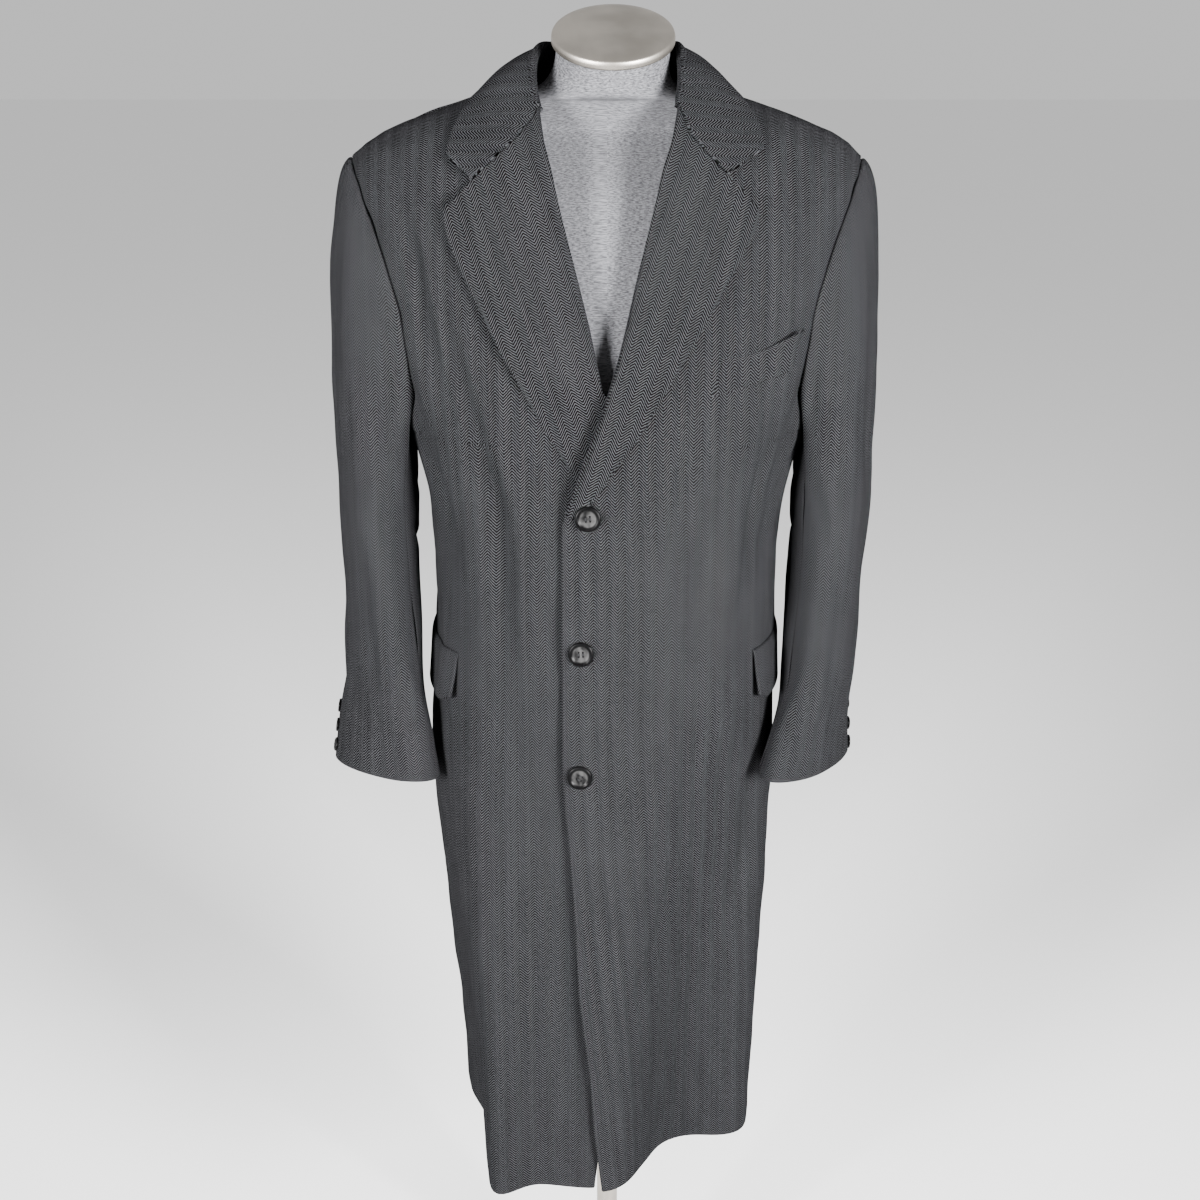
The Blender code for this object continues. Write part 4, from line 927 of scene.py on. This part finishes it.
def sleeve_pattern(side, points, is_under):
    """Cloth coordinates of a sleeve: round it from its front, and down it along its axis and its outer line."""
    rings = np.array(SLEEVE_RINGS[side])
    drop = -points[..., 2]
    place = np.interp(drop, -rings[:, 0], np.arange(len(rings)))
    _, centre_x, centre_y, across, deep, turned = np.moveaxis(spline(rings, place), -1, 0)
    x, y = SIGN[side] * points[..., 0] - centre_x, points[..., 1] - centre_y
    twist = np.radians(turned)
    sideways = (x * np.cos(twist) - y * np.sin(twist)) / across
    turn = np.arctan2(sideways, (-x * np.sin(twist) - y * np.cos(twist)) / deep)
    if is_under:
        turn = np.where(turn > math.pi / 2.0, turn - 2.0 * math.pi, turn)
    steps = np.linspace(-1.5 * math.pi, 1.5 * math.pi, 1081)
    ring = run_length(np.stack([np.sin(steps) * across.mean(), np.cos(steps) * deep.mean()], axis=-1))
    size = np.sqrt(across * deep) / math.sqrt(across.mean() * deep.mean())
    front = np.arctan2(np.sin(twist) / across, np.cos(twist) / deep)
    around = (np.interp(turn, steps, ring) - np.interp(front, steps, ring)) * size
    axis_down = np.interp(drop, -rings[:, 0], run_length(rings[:, :3]))
    outer = sleeve_point(side, np.zeros(200), np.linspace(-1.0, 0.0, 200), armhole_paths(side))
    outer_down = run_length(outer)
    plain = rings[0, 0] + drop
    above = np.interp(drop, -outer[:, 2], outer_down - outer_down[-1])
    cap_down = plain + (above - plain) * np.clip(sideways, 0.0, 1.0) ** 2
    return np.stack([around, -np.where(drop < -rings[0, 0], cap_down, axis_down)], axis=-1)


def make_sleeve(part, side, first, last, count):
    node = part + "_sleeve_" + side
    paths = armhole_paths(side)
    line = np.linspace(-1.0, SLEEVE_LAST, 900)
    length = run_length(sleeve_point(side, (first + last) / 2.0, line, paths))
    places = np.interp(steps_between(length[-1], SEAM_STEPS, EDGE_STEPS), length, line)
    ends = np.repeat([[first + 0.0008], [last - 0.0008]], len(places), axis=1)
    turns, firsts, lasts = spread_rows(lambda fine, place: sleeve_point(side, fine, place, paths), places, *ends,
                                       count, SEAM_STEPS, SEAM_STEPS)
    points = sleeve_point(side, turns, np.repeat(places[:, None], count, axis=1), paths)
    down = run_up(points)[:, count // 2][:, None]
    cloth = sleeve_pattern(side, points, part == "under")
    sheet = Sheet(points, cloth, flip=side == "right")
    creases = crease_lift(SLEEVE_CREASES[side], turns % 1.0, points[..., 2]) * smooth_step(0.01, 0.05, down)
    from_button = (turns % 1.0 - CUFF_BUTTON_TURN) / CUFF_BUTTON_CALM
    near_button = np.exp(-from_button ** 2) * smooth_step(0.95, 0.92, points[..., 2])
    sheet.push((creases + unevenness(cloth, sum(map(ord, node)), SLEEVE_UNEVENNESS)) * (1.0 - near_button)
               + CUFF_BUTTON_SEAT * near_button
               + SLEEVE_SEAM_SHARE * (seam_dip(firsts) + seam_dip(lasts)) + seam_dip(down))
    if part == "top":
        sheet.tuck("first_col")
        sheet.tuck("last_col")
    sheet.tuck("first_row")
    sheet.roll("last_row")
    cloth_piece("sleeve_%s_%s" % (part, side), node, sheet)


def make_flap(side):
    top, depth, first, last = FLAP[side]
    share = np.linspace(0.0, 1.0, 40)[None, :]
    low = np.concatenate([[1.0, 0.94], np.linspace(0.86, 0.05, 14), [0.0]])[:, None]
    corner = 0.008 * np.maximum(0.0, np.abs(2.0 * share - 1.0) - 0.75) / 0.25
    drop = depth * low - corner * low ** 6
    stand = FLAP_STAND * low ** 1.5 * (1.0 - share) ** 2
    level = level_at(np.full(drop.shape, math.copysign(0.15, first)), top - drop)
    angle = np.radians(first + (last - first) * share) * np.ones_like(drop)
    dip = -(FLAP_WALL - 0.0002) * np.exp(-(low * depth / 0.004) ** 2)
    points = lifted(angle, level, FLAP_WALL + 2.0 * GAP + stand + dip
                    + crease_lift(BODY_CREASES, np.degrees(angle), top - drop))
    sheet = Sheet(points, np.stack([run_length(points), -drop], axis=-1), flip=side == "right")
    for edge in ("first_row", "first_col", "last_col"):
        sheet.roll(edge, under=0.004)
    cloth_piece("hip_flap_" + side, "pocket_flap_" + side, sheet)


def make_welt():
    corners = np.array(WELT_CORNERS)
    share = np.linspace(0.0, 1.0, 34)[None, :, None]
    low = np.concatenate([[1.0, 0.96], np.linspace(0.88, 0.12, 10), [0.0]])[:, None, None]
    upper = corners[0] + (corners[1] - corners[0]) * share
    lower = corners[3] + (corners[2] - corners[3]) * share
    flat = upper + (lower - upper) * low
    share, low = share[..., 0], low[..., 0]
    height = flat[..., 1] - WELT_DIP * np.sin(math.pi * share) * (1.0 - low)
    stand = WELT_STAND * (1.0 - low) ** 2 * smooth_step(0.5, 1.0, share)
    edges = 1.0 - np.exp(-((1.0 - low) * 0.04 / 0.002) ** 2)
    outer = 1.0 - np.exp(-((1.0 - share) * 0.078 / 0.0015) ** 2)
    ends = (1.0 - np.exp(-(share * 0.078 / 0.0015) ** 2)) * (outer + (1.0 - outer) * (1.0 - low) ** 1.5)
    points = on_front(flat[..., 0], height, 0.0006 + 0.0014 * edges * ends + stand * ends)
    sheet = Sheet(points, np.stack([flat[..., 0] - 0.09 + 0.5 * COLUMN, height + 0.3 * TWILL_PITCH], axis=-1))
    sheet.roll("last_row", radius=0.0012, under=0.0)
    cloth_piece("chest_welt", "breast_welt", sheet)


def turned_mesh(name, profile, steps, matrix):
    """Mesh turned about its own Z from a profile that runs down its outer side, first and last at radius 0."""
    vertices = [(0.0, 0.0, profile[0][1])]
    for radius, height in profile[1:-1]:
        for step in range(steps):
            angle = 2.0 * math.pi * step / steps
            vertices.append((radius * math.cos(angle), radius * math.sin(angle), height))
    vertices.append((0.0, 0.0, profile[-1][1]))
    end = len(vertices) - 1
    faces = []
    for step in range(steps):
        after = (step + 1) % steps
        faces.append((0, 1 + step, 1 + after))
        for ring in range(len(profile) - 3):
            low, high = 1 + ring * steps, 1 + (ring + 1) * steps
            faces.append((low + step, high + step, high + after, low + after))
        faces.append((end, end - steps + after, end - steps + step))
    return mesh_from(name, [matrix @ Vector(vertex) for vertex in vertices], faces)


def rounded_profile(rows):
    """Profile through the rows with each inner corner rounded by a short curve."""
    result = [rows[0]]
    for before, here, after in zip(rows, rows[1:], rows[2:]):
        a, b, c = Vector(before), Vector(here), Vector(after)
        reach = min(here[2] if len(here) > 2 else 0.001, (a.xy - b.xy).length / 2.0, (c.xy - b.xy).length / 2.0)
        start = b.xy + (a.xy - b.xy).normalized() * reach
        stop = b.xy + (c.xy - b.xy).normalized() * reach
        for step in range(ROUNDING_STEPS + 1):
            share = step / ROUNDING_STEPS
            spot = start * (1 - share) ** 2 + b.xy * 2 * share * (1 - share) + stop * share ** 2
            result.append((spot.x, spot.y))
    result.append(rows[-1])
    return [(row[0], row[1]) for row in result]


def facing(point, normal, turn=0.0):
    """Matrix that puts a turned solid's foot on a point, with its axis along the normal."""
    tilt = Vector((0.0, 0.0, 1.0)).rotation_difference(Vector(normal)).to_matrix().to_4x4()
    return Matrix.Translation(Vector(point)) @ tilt @ Matrix.Rotation(math.radians(turn), 4, "Z")


def button(name, node, diameter, thickness, matrix, steps):
    """Four-hole button with a raised dark rim and a dished middle, its thread through the holes."""
    radius = diameter / 2.0
    profile = [(radius * out, thickness * up) for out, up in BUTTON_PROFILE]
    thing = turned_mesh(name, profile, steps, Matrix.Identity(4))
    hole = diameter * 0.046
    offset = diameter * 0.082
    cutters = bmesh.new()
    for x in (-offset, offset):
        for y in (-offset, offset):
            bmesh.ops.create_cone(cutters, cap_ends=True, segments=16, radius1=hole, radius2=hole,
                                  depth=thickness * 3.0, matrix=Matrix.Translation((x, y, thickness * 0.5)))
    data = bpy.data.meshes.new(name + "_holes")
    cutters.to_mesh(data)
    cutters.free()
    cutter = new_object(name + "_holes", data)
    cut = thing.modifiers.new("Holes", "BOOLEAN")
    cut.object = cutter
    cut.operation = "DIFFERENCE"
    graph = bpy.context.evaluated_depsgraph_get()
    mesh = bpy.data.meshes.new_from_object(thing.evaluated_get(graph))
    bpy.data.objects.remove(cutter)
    thing.modifiers.clear()
    thing.data = mesh
    face = mesh.uv_layers.new(name="Face")
    for loop in mesh.loops:
        spot = mesh.vertices[loop.vertex_index].co
        face.data[loop.index].uv = (spot.x / radius, spot.y / radius)
    mesh.transform(matrix)
    mesh.materials.clear()
    mesh.set_sharp_from_angle(angle=math.radians(40.0))
    finish_piece(thing, node, "grey_horn")
    make_thread(name + "_thread", thickness, offset, hole, matrix)


def make_thread(name, thickness, offset, hole, matrix):
    """Two bars of a few strands each, up through one hole and down through the next."""
    vertices, faces = [], []
    for x in (-offset, offset):
        for strand in (-0.45, 0.0, 0.45):
            line = []
            for step in range(9):
                share = step / 8.0
                y = offset * (2.0 * share - 1.0) * 1.05
                z = thickness * (0.30 + 0.42 * math.sin(math.pi * share) ** 0.55)
                line.append(Vector((x + strand * hole, y, z)))
            add_tube(vertices, faces, line, hole * 0.34, 6)
    thread_piece(name, [matrix @ vertex for vertex in vertices], faces)


def thread_piece(name, vertices, faces):
    thing = mesh_from(name, vertices, faces)
    thing.data.materials.append(MATERIALS["thread"])
    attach(thing, "root")


def add_tube(vertices, faces, line, radius, sides):
    """Adds a capped tube along a line to lists of vertices and faces."""
    first = len(vertices)
    for index, point in enumerate(line):
        tangent = (line[min(index + 1, len(line) - 1)] - line[max(index - 1, 0)]).normalized()
        side = tangent.orthogonal().normalized()
        other = tangent.cross(side)
        for step in range(sides):
            angle = 2.0 * math.pi * step / sides
            vertices.append(point + (side * math.cos(angle) + other * math.sin(angle)) * radius)
    for index in range(len(line) - 1):
        low = first + index * sides
        for step in range(sides):
            after = (step + 1) % sides
            faces.append((low + step, low + after, low + sides + after, low + sides + step))
    faces.append(tuple(first + step for step in reversed(range(sides))))
    faces.append(tuple(first + (len(line) - 1) * sides + step for step in range(sides)))


def make_front_buttons():
    for number, (x, height, turn) in enumerate(FRONT_BUTTONS, 1):
        node = "front_button_%d" % number
        level = level_at(x, height)
        angle = angle_at(x, level)
        normal = body_normal(angle, level)
        seat = lifted(angle, level, BUTTON_SEAT + (0.0022 if number == 1 else 0.0006))
        button("coat_button_%d" % number, node, BUTTON_DIAMETER, BUTTON_THICKNESS, facing(seat, normal, turn), 64)


def make_cuff_buttons(side):
    places = sorted((row[0], index) for index, row in enumerate(SLEEVE_RINGS[side]))
    for number in range(CUFF_BUTTONS):
        place = along(places, CUFF_BUTTON_LOWEST + CUFF_BUTTON_PITCH * number)
        here = sleeve_ring(side, place, CUFF_BUTTON_TURN)
        before, after = [sleeve_ring(side, place, CUFF_BUTTON_TURN + step) for step in (-0.004, 0.004)]
        upper, lower = [sleeve_ring(side, place + step, CUFF_BUTTON_TURN) for step in (-0.05, 0.05)]
        normal = unit(np.cross(after - before, lower - upper))
        if normal[0] * here[0] < 0.0:
            normal = -normal
        seat = here + normal * (BUTTON_SEAT + 0.0004)
        name = "sleeve_button_%s_%d" % (side, number + 1)
        button(name, "cuff_button_%s_%d" % (side, number + 1), CUFF_BUTTON_DIAMETER, CUFF_BUTTON_THICKNESS,
               facing(seat, normal, 35.0 * number), 48)


def make_buttonholes():
    """Worked buttonholes on the left front: a slit with a row of close stitches on each lip, a bar at its end."""
    for number, (x, height, _) in enumerate(FRONT_BUTTONS, 1):
        vertices, faces = [], []
        count = 26
        for step in range(count + 1):
            run = -0.002 + BUTTONHOLE_LENGTH * step / count
            for lip in (-1.0, 1.0):
                line = []
                for reach in (0.0001, 0.0006, 0.0012):
                    lift = 0.0001 + 0.0003 * math.sin(math.pi * reach / 0.0012)
                    spot = on_front(x + run, height + lip * reach, lift)
                    line.append(Vector(spot))
                add_tube(vertices, faces, line, 0.00034, 5)
        end = [Vector(on_front(x - 0.002 + BUTTONHOLE_LENGTH + 0.0004, height + rise, 0.0003))
               for rise in (-0.0012, -0.0004, 0.0004, 0.0012)]
        add_tube(vertices, faces, end, 0.0004, 6)
        thread_piece("buttonhole_%d" % number, vertices, faces)


def form_row(ring, steps):
    height, half, front, back, tilt = ring
    angle = 2.0 * math.pi * np.arange(steps) / steps
    power = 2.0 / FORM_SQUARE
    depth = np.where(np.cos(angle) > 0.0, front, back)
    x = np.sign(np.sin(angle)) * half * np.abs(np.sin(angle)) ** power
    y = -np.sign(np.cos(angle)) * depth * np.abs(np.cos(angle)) ** power
    lean = tilt * math.tan(math.radians(CAP_TILT)) * (y - NECK_TOP[1])
    shift = NECK_TOP[0] * smooth_step(1.51, 1.56, height)
    return np.stack([x + shift, y, height + lean], axis=-1)


def make_form():
    steps = 112
    places = np.linspace(0.0, len(FORM_RINGS) - 1.0, 150)
    rows = np.array([form_row(ring, steps) for ring in spline(FORM_RINGS, places)])
    around = np.concatenate([run_length(rows), (run_length(rows)[:, -1] + 0.005)[:, None]], axis=1)
    rows = np.concatenate([rows, rows[:, :1]], axis=1)
    up = run_up(rows)[:, :1]
    middle = around[:, steps // 2][:, None]
    cloth = np.stack([around - middle, np.repeat(up, steps + 1, axis=1)], axis=-1)
    faces = grid_faces(len(rows), steps + 1, False)
    count = steps + 1
    faces.append(tuple(reversed(range(steps))))
    faces.append(tuple((len(rows) - 1) * count + step for step in range(steps)))
    thing = mesh_from("jersey_form", rows.reshape(-1, 3), faces, cloth.reshape(-1, 2))
    mesh = bmesh.new()
    mesh.from_mesh(thing.data)
    bmesh.ops.remove_doubles(mesh, verts=mesh.verts, dist=0.00001)
    mesh.to_mesh(thing.data)
    mesh.free()
    thing.data.shade_smooth()
    thing.data.set_sharp_from_angle(angle=math.radians(60.0))
    finish_piece(thing, "form_torso", "heather_jersey")
    tilt = Matrix.Rotation(math.radians(CAP_TILT), 4, "X")
    seat = Vector(NECK_TOP) + tilt.to_3x3() @ Vector((0.0, 0.0, GAP))
    cap = rounded_profile(((0.0, 0.0122), (0.030, 0.0119, 0.004), (0.0520, 0.0106, 0.004), (0.0590, 0.0086, 0.002),
                           (0.0600, 0.0052, 0.001), (0.0600, 0.0012, 0.0008), (0.0588, 0.0, 0.0005), (0.0, 0.0)))
    metal_piece("cap_disc", "neck_cap", cap, 128, Matrix.Translation(seat) @ tilt)


def metal_piece(name, node, profile, steps, matrix):
    thing = turned_mesh(name, profile, steps, matrix)
    thing.data.set_sharp_from_angle(angle=math.radians(50.0))
    finish_piece(thing, node, "brushed_metal")



def make_stand():
    place = Matrix.Translation((0.0, STAND_DEPTH, 0.0))
    top = FORM_RINGS[0][0] - GAP
    foot = BASE_THICKNESS + GAP
    pole = rounded_profile(((0.0, top), (0.034, top, 0.001), (0.034, top - 0.005, 0.001),
                            (POLE_RADIUS, top - 0.010, 0.002), (POLE_RADIUS, foot + 0.030, 0.002),
                            (0.0195, foot + 0.026, 0.001), (0.0195, foot, 0.0006), (0.0, foot)))
    metal_piece("stand_pole", "form_pole", pole, 64, place)
    base = rounded_profile(((0.0, BASE_THICKNESS), (0.040, BASE_THICKNESS, 0.004),
                            (BASE_RADIUS - 0.020, BASE_THICKNESS - 0.003, 0.006),
                            (BASE_RADIUS - 0.004, BASE_THICKNESS - 0.006, 0.003),
                            (BASE_RADIUS, BASE_THICKNESS - 0.010, 0.002), (BASE_RADIUS, 0.002, 0.001),
                            (BASE_RADIUS - 0.002, 0.0, 0.001), (0.0, 0.0)))
    metal_piece("stand_base", "form_base", base, 128, place)


class Shader:
    """Small helper that adds nodes to one material and links them by socket or number."""

    def __init__(self, name):
        self.material = bpy.data.materials.new(name)
        self.material.use_nodes = True
        self.tree = self.material.node_tree
        self.surface = self.tree.nodes["Principled BSDF"]

    def set(self, socket, value):
        if isinstance(value, bpy.types.NodeSocket):
            self.tree.links.new(value, socket)
        else:
            socket.default_value = value

    def node(self, kind, inputs=None, **settings):
        made = self.tree.nodes.new(kind)
        for key, value in settings.items():
            setattr(made, key, value)
        for key, value in (inputs or {}).items():
            self.set(made.inputs[key], value)
        return made

    def math(self, operation, first, second=0.0, third=0.0):
        return self.node("ShaderNodeMath", {0: first, 1: second, 2: third}, operation=operation).outputs[0]

    def mix(self, share, first, second):
        made = self.node("ShaderNodeMix", data_type="RGBA")
        self.set(made.inputs[0], share)
        self.set(made.inputs[6], first)
        self.set(made.inputs[7], second)
        return made.outputs[2]

    def noise(self, vector, scale, detail=2.0, roughness=0.5):
        return self.node("ShaderNodeTexNoise", {"Vector": vector, "Scale": scale, "Detail": detail,
                                                "Roughness": roughness}).outputs["Fac"]

    def combine(self, x, y, z=0.0):
        return self.node("ShaderNodeCombineXYZ", {0: x, 1: y, 2: z}).outputs[0]

    def stretched(self, u, v, across, lengthwise):
        """Cloth coordinates times factors, as a vector."""
        return self.combine(self.math("MULTIPLY", u, across), self.math("MULTIPLY", v, lengthwise))

    def cloth(self):
        """Cloth coordinates in metres: across and along the grain."""
        split = self.node("ShaderNodeSeparateXYZ", {0: self.node("ShaderNodeUVMap", uv_map="Cloth").outputs[0]})
        return split.outputs[0], split.outputs[1]

    def remap(self, value, low, high, new_low, new_high):
        made = self.node("ShaderNodeMapRange", {0: value, 1: low, 2: high, 3: new_low, 4: new_high},
                         interpolation_type="SMOOTHSTEP")
        return made.outputs[0]

    def bump(self, height, distance, strength=1.0, below=None):
        made = self.node("ShaderNodeBump", {"Height": height, "Distance": distance, "Strength": strength})
        if below is not None:
            self.set(made.inputs["Normal"], below)
        return made.outputs[0]

    def finish(self, colour=None, roughness=None, normal=None, **constants):
        for key, value in (("Base Color", colour), ("Roughness", roughness), ("Normal", normal)):
            if value is not None:
                self.set(self.surface.inputs[key], value)
        for key, value in constants.items():
            self.surface.inputs[key.replace("_", " ")].default_value = value
        return self.material


def herringbone_wool():
    """Charcoal and pale grey herringbone, napped: columns whose twill lines turn at each edge."""
    shader = Shader("herringbone_wool")
    u, v = shader.cloth()
    wobble = shader.noise(shader.combine(u, v), 60.0, 2.0)
    u_bent = shader.math("MULTIPLY_ADD", wobble, 0.0006, u)
    column = shader.math("DIVIDE", u_bent, COLUMN)
    index = shader.math("FLOOR", column)
    parity = shader.math("PINGPONG", index, 1.0)
    side = shader.math("PINGPONG", shader.math("SUBTRACT", column, 0.5), 1.0)
    fine = shader.noise(shader.combine(u, v), 420.0, 2.0)
    lateral = shader.math("MULTIPLY", side, COLUMN * 1.05)
    phase = shader.math("DIVIDE", shader.math("ADD", v, lateral), TWILL_PITCH)
    phase = shader.math("MULTIPLY_ADD", parity, 0.12, phase)
    phase = shader.math("MULTIPLY_ADD", shader.math("SUBTRACT", fine, 0.5), 0.30, phase)
    line = shader.math("PINGPONG", phase, 0.5)
    warp = shader.math("FLOOR", shader.math("DIVIDE", u_bent, COLUMN / 8.0))
    yarn = shader.node("ShaderNodeTexWhiteNoise", {"W": warp}, noise_dimensions="1D").outputs["Value"]
    slub = shader.noise(shader.stretched(u, v, 700.0, 160.0), 1.0, 2.0)
    pale = shader.math("MULTIPLY_ADD", slub, 0.8, shader.math("MULTIPLY", yarn, 0.2))
    light_share = shader.remap(line, 0.25, 0.41, 0.0, 1.0)
    fibre = shader.noise(shader.combine(u, v, 0.3), 1500.0, 3.0, 0.65)
    nap = shader.noise(shader.stretched(u, v, 60.0, 16.0), 1.0, 3.0)
    light = shader.mix(pale, (0.008, 0.008, 0.009, 1.0), (0.066, 0.0665, 0.071, 1.0))
    colour = shader.mix(light_share, (0.0003, 0.0003, 0.0003, 1.0), light)
    fuzz = shader.remap(fibre, 0.42, 0.78, 0.0, 0.14)
    colour = shader.mix(fuzz, colour, (0.0045, 0.0045, 0.0049, 1.0))
    shade = shader.math("ADD", shader.math("MULTIPLY_ADD", parity, 0.08, 0.86),
                        shader.remap(nap, 0.3, 0.7, -0.08, 0.08))
    tint = shader.node("ShaderNodeVectorMath", {0: colour, 1: shader.combine(shade, shade, shade)},
                       operation="MULTIPLY").outputs[0]
    relief = shader.math("MULTIPLY_ADD", fibre, 0.5, light_share)
    normal = shader.bump(relief, 0.00030, 0.7)
    return shader.finish(tint, 0.95, normal, Specular_IOR_Level=0.0)


def heather_jersey():
    """Grey heathered knit with faint zigzag rows."""
    shader = Shader("heather_jersey")
    u, v = shader.cloth()
    zig = shader.math("PINGPONG", u, 0.008)
    rows = shader.math("PINGPONG", shader.math("ADD", v, zig), 0.006)
    band = shader.remap(rows, 0.0, 0.006, 0.0, 1.0)
    heather = shader.noise(shader.stretched(u, v, 260.0, 900.0), 1.0, 4.0, 0.7)
    stitches = shader.math("PINGPONG", shader.math("MULTIPLY_ADD", heather, 0.0008, v), 0.0007)
    share = shader.math("MULTIPLY_ADD", band, 0.10, shader.remap(heather, 0.32, 0.68, 0.0, 0.95))
    colour = shader.mix(share, (0.022, 0.022, 0.024, 1.0), (0.120, 0.120, 0.128, 1.0))
    height = shader.math("MULTIPLY_ADD", heather, 0.5, shader.math("MULTIPLY", stitches, 700.0))
    normal = shader.bump(height, 0.00035, 0.5)
    return shader.finish(colour, 0.95, normal, Specular_IOR_Level=0.05)


def grey_horn():
    """Marbled grey horn: pale in the middle, streaked, darker at the rim."""
    shader = Shader("grey_horn")
    place = shader.node("ShaderNodeTexCoord").outputs["Object"]
    face = shader.node("ShaderNodeUVMap", uv_map="Face").outputs[0]
    reach = shader.node("ShaderNodeVectorMath", {0: face}, operation="LENGTH").outputs["Value"]
    warp = shader.noise(place, 90.0, 3.0)
    streak = shader.node("ShaderNodeTexWave", {"Vector": place, "Scale": 38.0, "Distortion": 11.0,
                                               "Detail": 3.0, "Detail Scale": 1.2}).outputs["Fac"]
    share = shader.math("MULTIPLY_ADD", streak, 0.35, shader.remap(warp, 0.35, 0.65, 0.0, 0.65))
    middle = shader.mix(share, (0.003, 0.003, 0.0031, 1.0), (0.030, 0.0295, 0.0295, 1.0))
    rim = shader.remap(reach, 0.56, 0.70, 0.0, 0.96)
    colour = shader.mix(rim, middle, (0.0006, 0.0006, 0.0007, 1.0))
    roughness = shader.remap(warp, 0.3, 0.7, 0.22, 0.36)
    normal = shader.bump(shader.noise(place, 900.0, 2.0), 0.00004, 0.5)
    return shader.finish(colour, roughness, normal, Specular_IOR_Level=0.045)


def brushed_metal():
    """Nickel-plated steel brushed in fine lines, with a faint cloud of handling."""
    shader = Shader("brushed_metal")
    place = shader.node("ShaderNodeTexCoord").outputs["Object"]
    split = shader.node("ShaderNodeSeparateXYZ", {0: place})
    x, y, z = split.outputs[0], split.outputs[1], split.outputs[2]
    lines = shader.noise(shader.combine(shader.math("MULTIPLY", x, 2600.0), shader.math("MULTIPLY", y, 40.0),
                                        shader.math("MULTIPLY", z, 40.0)), 1.0, 3.0, 0.7)
    cloud = shader.noise(place, 14.0, 3.0)
    colour = shader.mix(shader.remap(cloud, 0.3, 0.7, 0.0, 1.0), (0.300, 0.276, 0.244, 1.0),
                        (0.380, 0.352, 0.314, 1.0))
    rough = shader.math("MULTIPLY_ADD", lines, 0.14, shader.remap(cloud, 0.3, 0.7, 0.30, 0.38))
    normal = shader.bump(lines, 0.00005, 0.35)
    return shader.finish(colour, rough, normal, Metallic=1.0)


def thread():
    """Waxed sewing thread, dark grey, twisted."""
    shader = Shader("thread")
    place = shader.node("ShaderNodeTexCoord").outputs["Object"]
    twist = shader.node("ShaderNodeTexWave", {"Vector": place, "Scale": 700.0, "Distortion": 2.0}).outputs["Fac"]
    colour = shader.mix(twist, (0.004, 0.004, 0.0045, 1.0), (0.020, 0.020, 0.021, 1.0))
    normal = shader.bump(twist, 0.00008, 0.6)
    return shader.finish(colour, 0.8, normal, Specular_IOR_Level=0.03)


def make_stage():
    """Pale floor and soft studio light."""
    corners = [(x * FLOOR_REACH, y * FLOOR_REACH, -FLOOR_DROP) for x, y in ((-1, -1), (1, -1), (1, 1), (-1, 1))]
    floor = mesh_from("floor", corners, [(0, 1, 2, 3)], smooth=False)
    shader = Shader("pale_floor")
    floor.data.materials.append(shader.finish((0.93, 0.93, 0.93, 1.0), 0.9, None, Specular_IOR_Level=0.1))
    world = bpy.data.worlds.new("studio")
    bpy.context.scene.world = world
    world.use_nodes = True
    background = world.node_tree.nodes["Background"]
    background.inputs[0].default_value = (1.0, 1.0, 1.0, 1.0)
    background.inputs[1].default_value = WORLD_STRENGTH
    for name, place, power in LIGHTS:
        soft_light(name, place, power)


def soft_light(name, place, power):
    light = bpy.data.lights.new(name, "AREA")
    light.size = LIGHT_SIZE
    light.energy = power
    light.spread = LIGHT_SPREAD
    thing = new_object(name, light)
    thing.location = place
    aim = Vector(LIGHT_AIM) - Vector(place)
    thing.rotation_euler = aim.to_track_quat("-Z", "Y").to_euler()


def make_camera():
    camera = new_object("camera", bpy.data.cameras.new("camera"))
    camera.data.sensor_width = SENSOR
    camera.data.lens = FOCAL_PIXELS / PHOTO * SENSOR
    camera.data.shift_x = (PHOTO / 2.0 - CENTRE_PIXEL[0]) / PHOTO
    camera.data.shift_y = (CENTRE_PIXEL[1] - PHOTO / 2.0) / PHOTO
    camera.location = CAMERA_PLACE
    camera.rotation_euler = (math.radians(90.0 - CAMERA_TILT), 0.0, 0.0)
    bpy.context.scene.camera = camera


MATERIALS = {make.__name__: make()
             for make in (herringbone_wool, heather_jersey, grey_horn, brushed_metal, thread)}
make_camera()
make_stage()
for side in ("left", "right"):
    make_front(side)
    make_back(side)
    make_lapel(side)
    make_sleeve("top", side, SLEEVE_SEAM_HIND - 1.0, SLEEVE_SEAM_FRONT, TOP_SLEEVE_COLUMNS)
    make_sleeve("under", side, SLEEVE_SEAM_FRONT, SLEEVE_SEAM_HIND, UNDER_SLEEVE_COLUMNS)
    make_flap(side)
    make_cuff_buttons(side)
make_collar()
make_welt()
make_front_buttons()
make_buttonholes()
make_form()
make_stand()
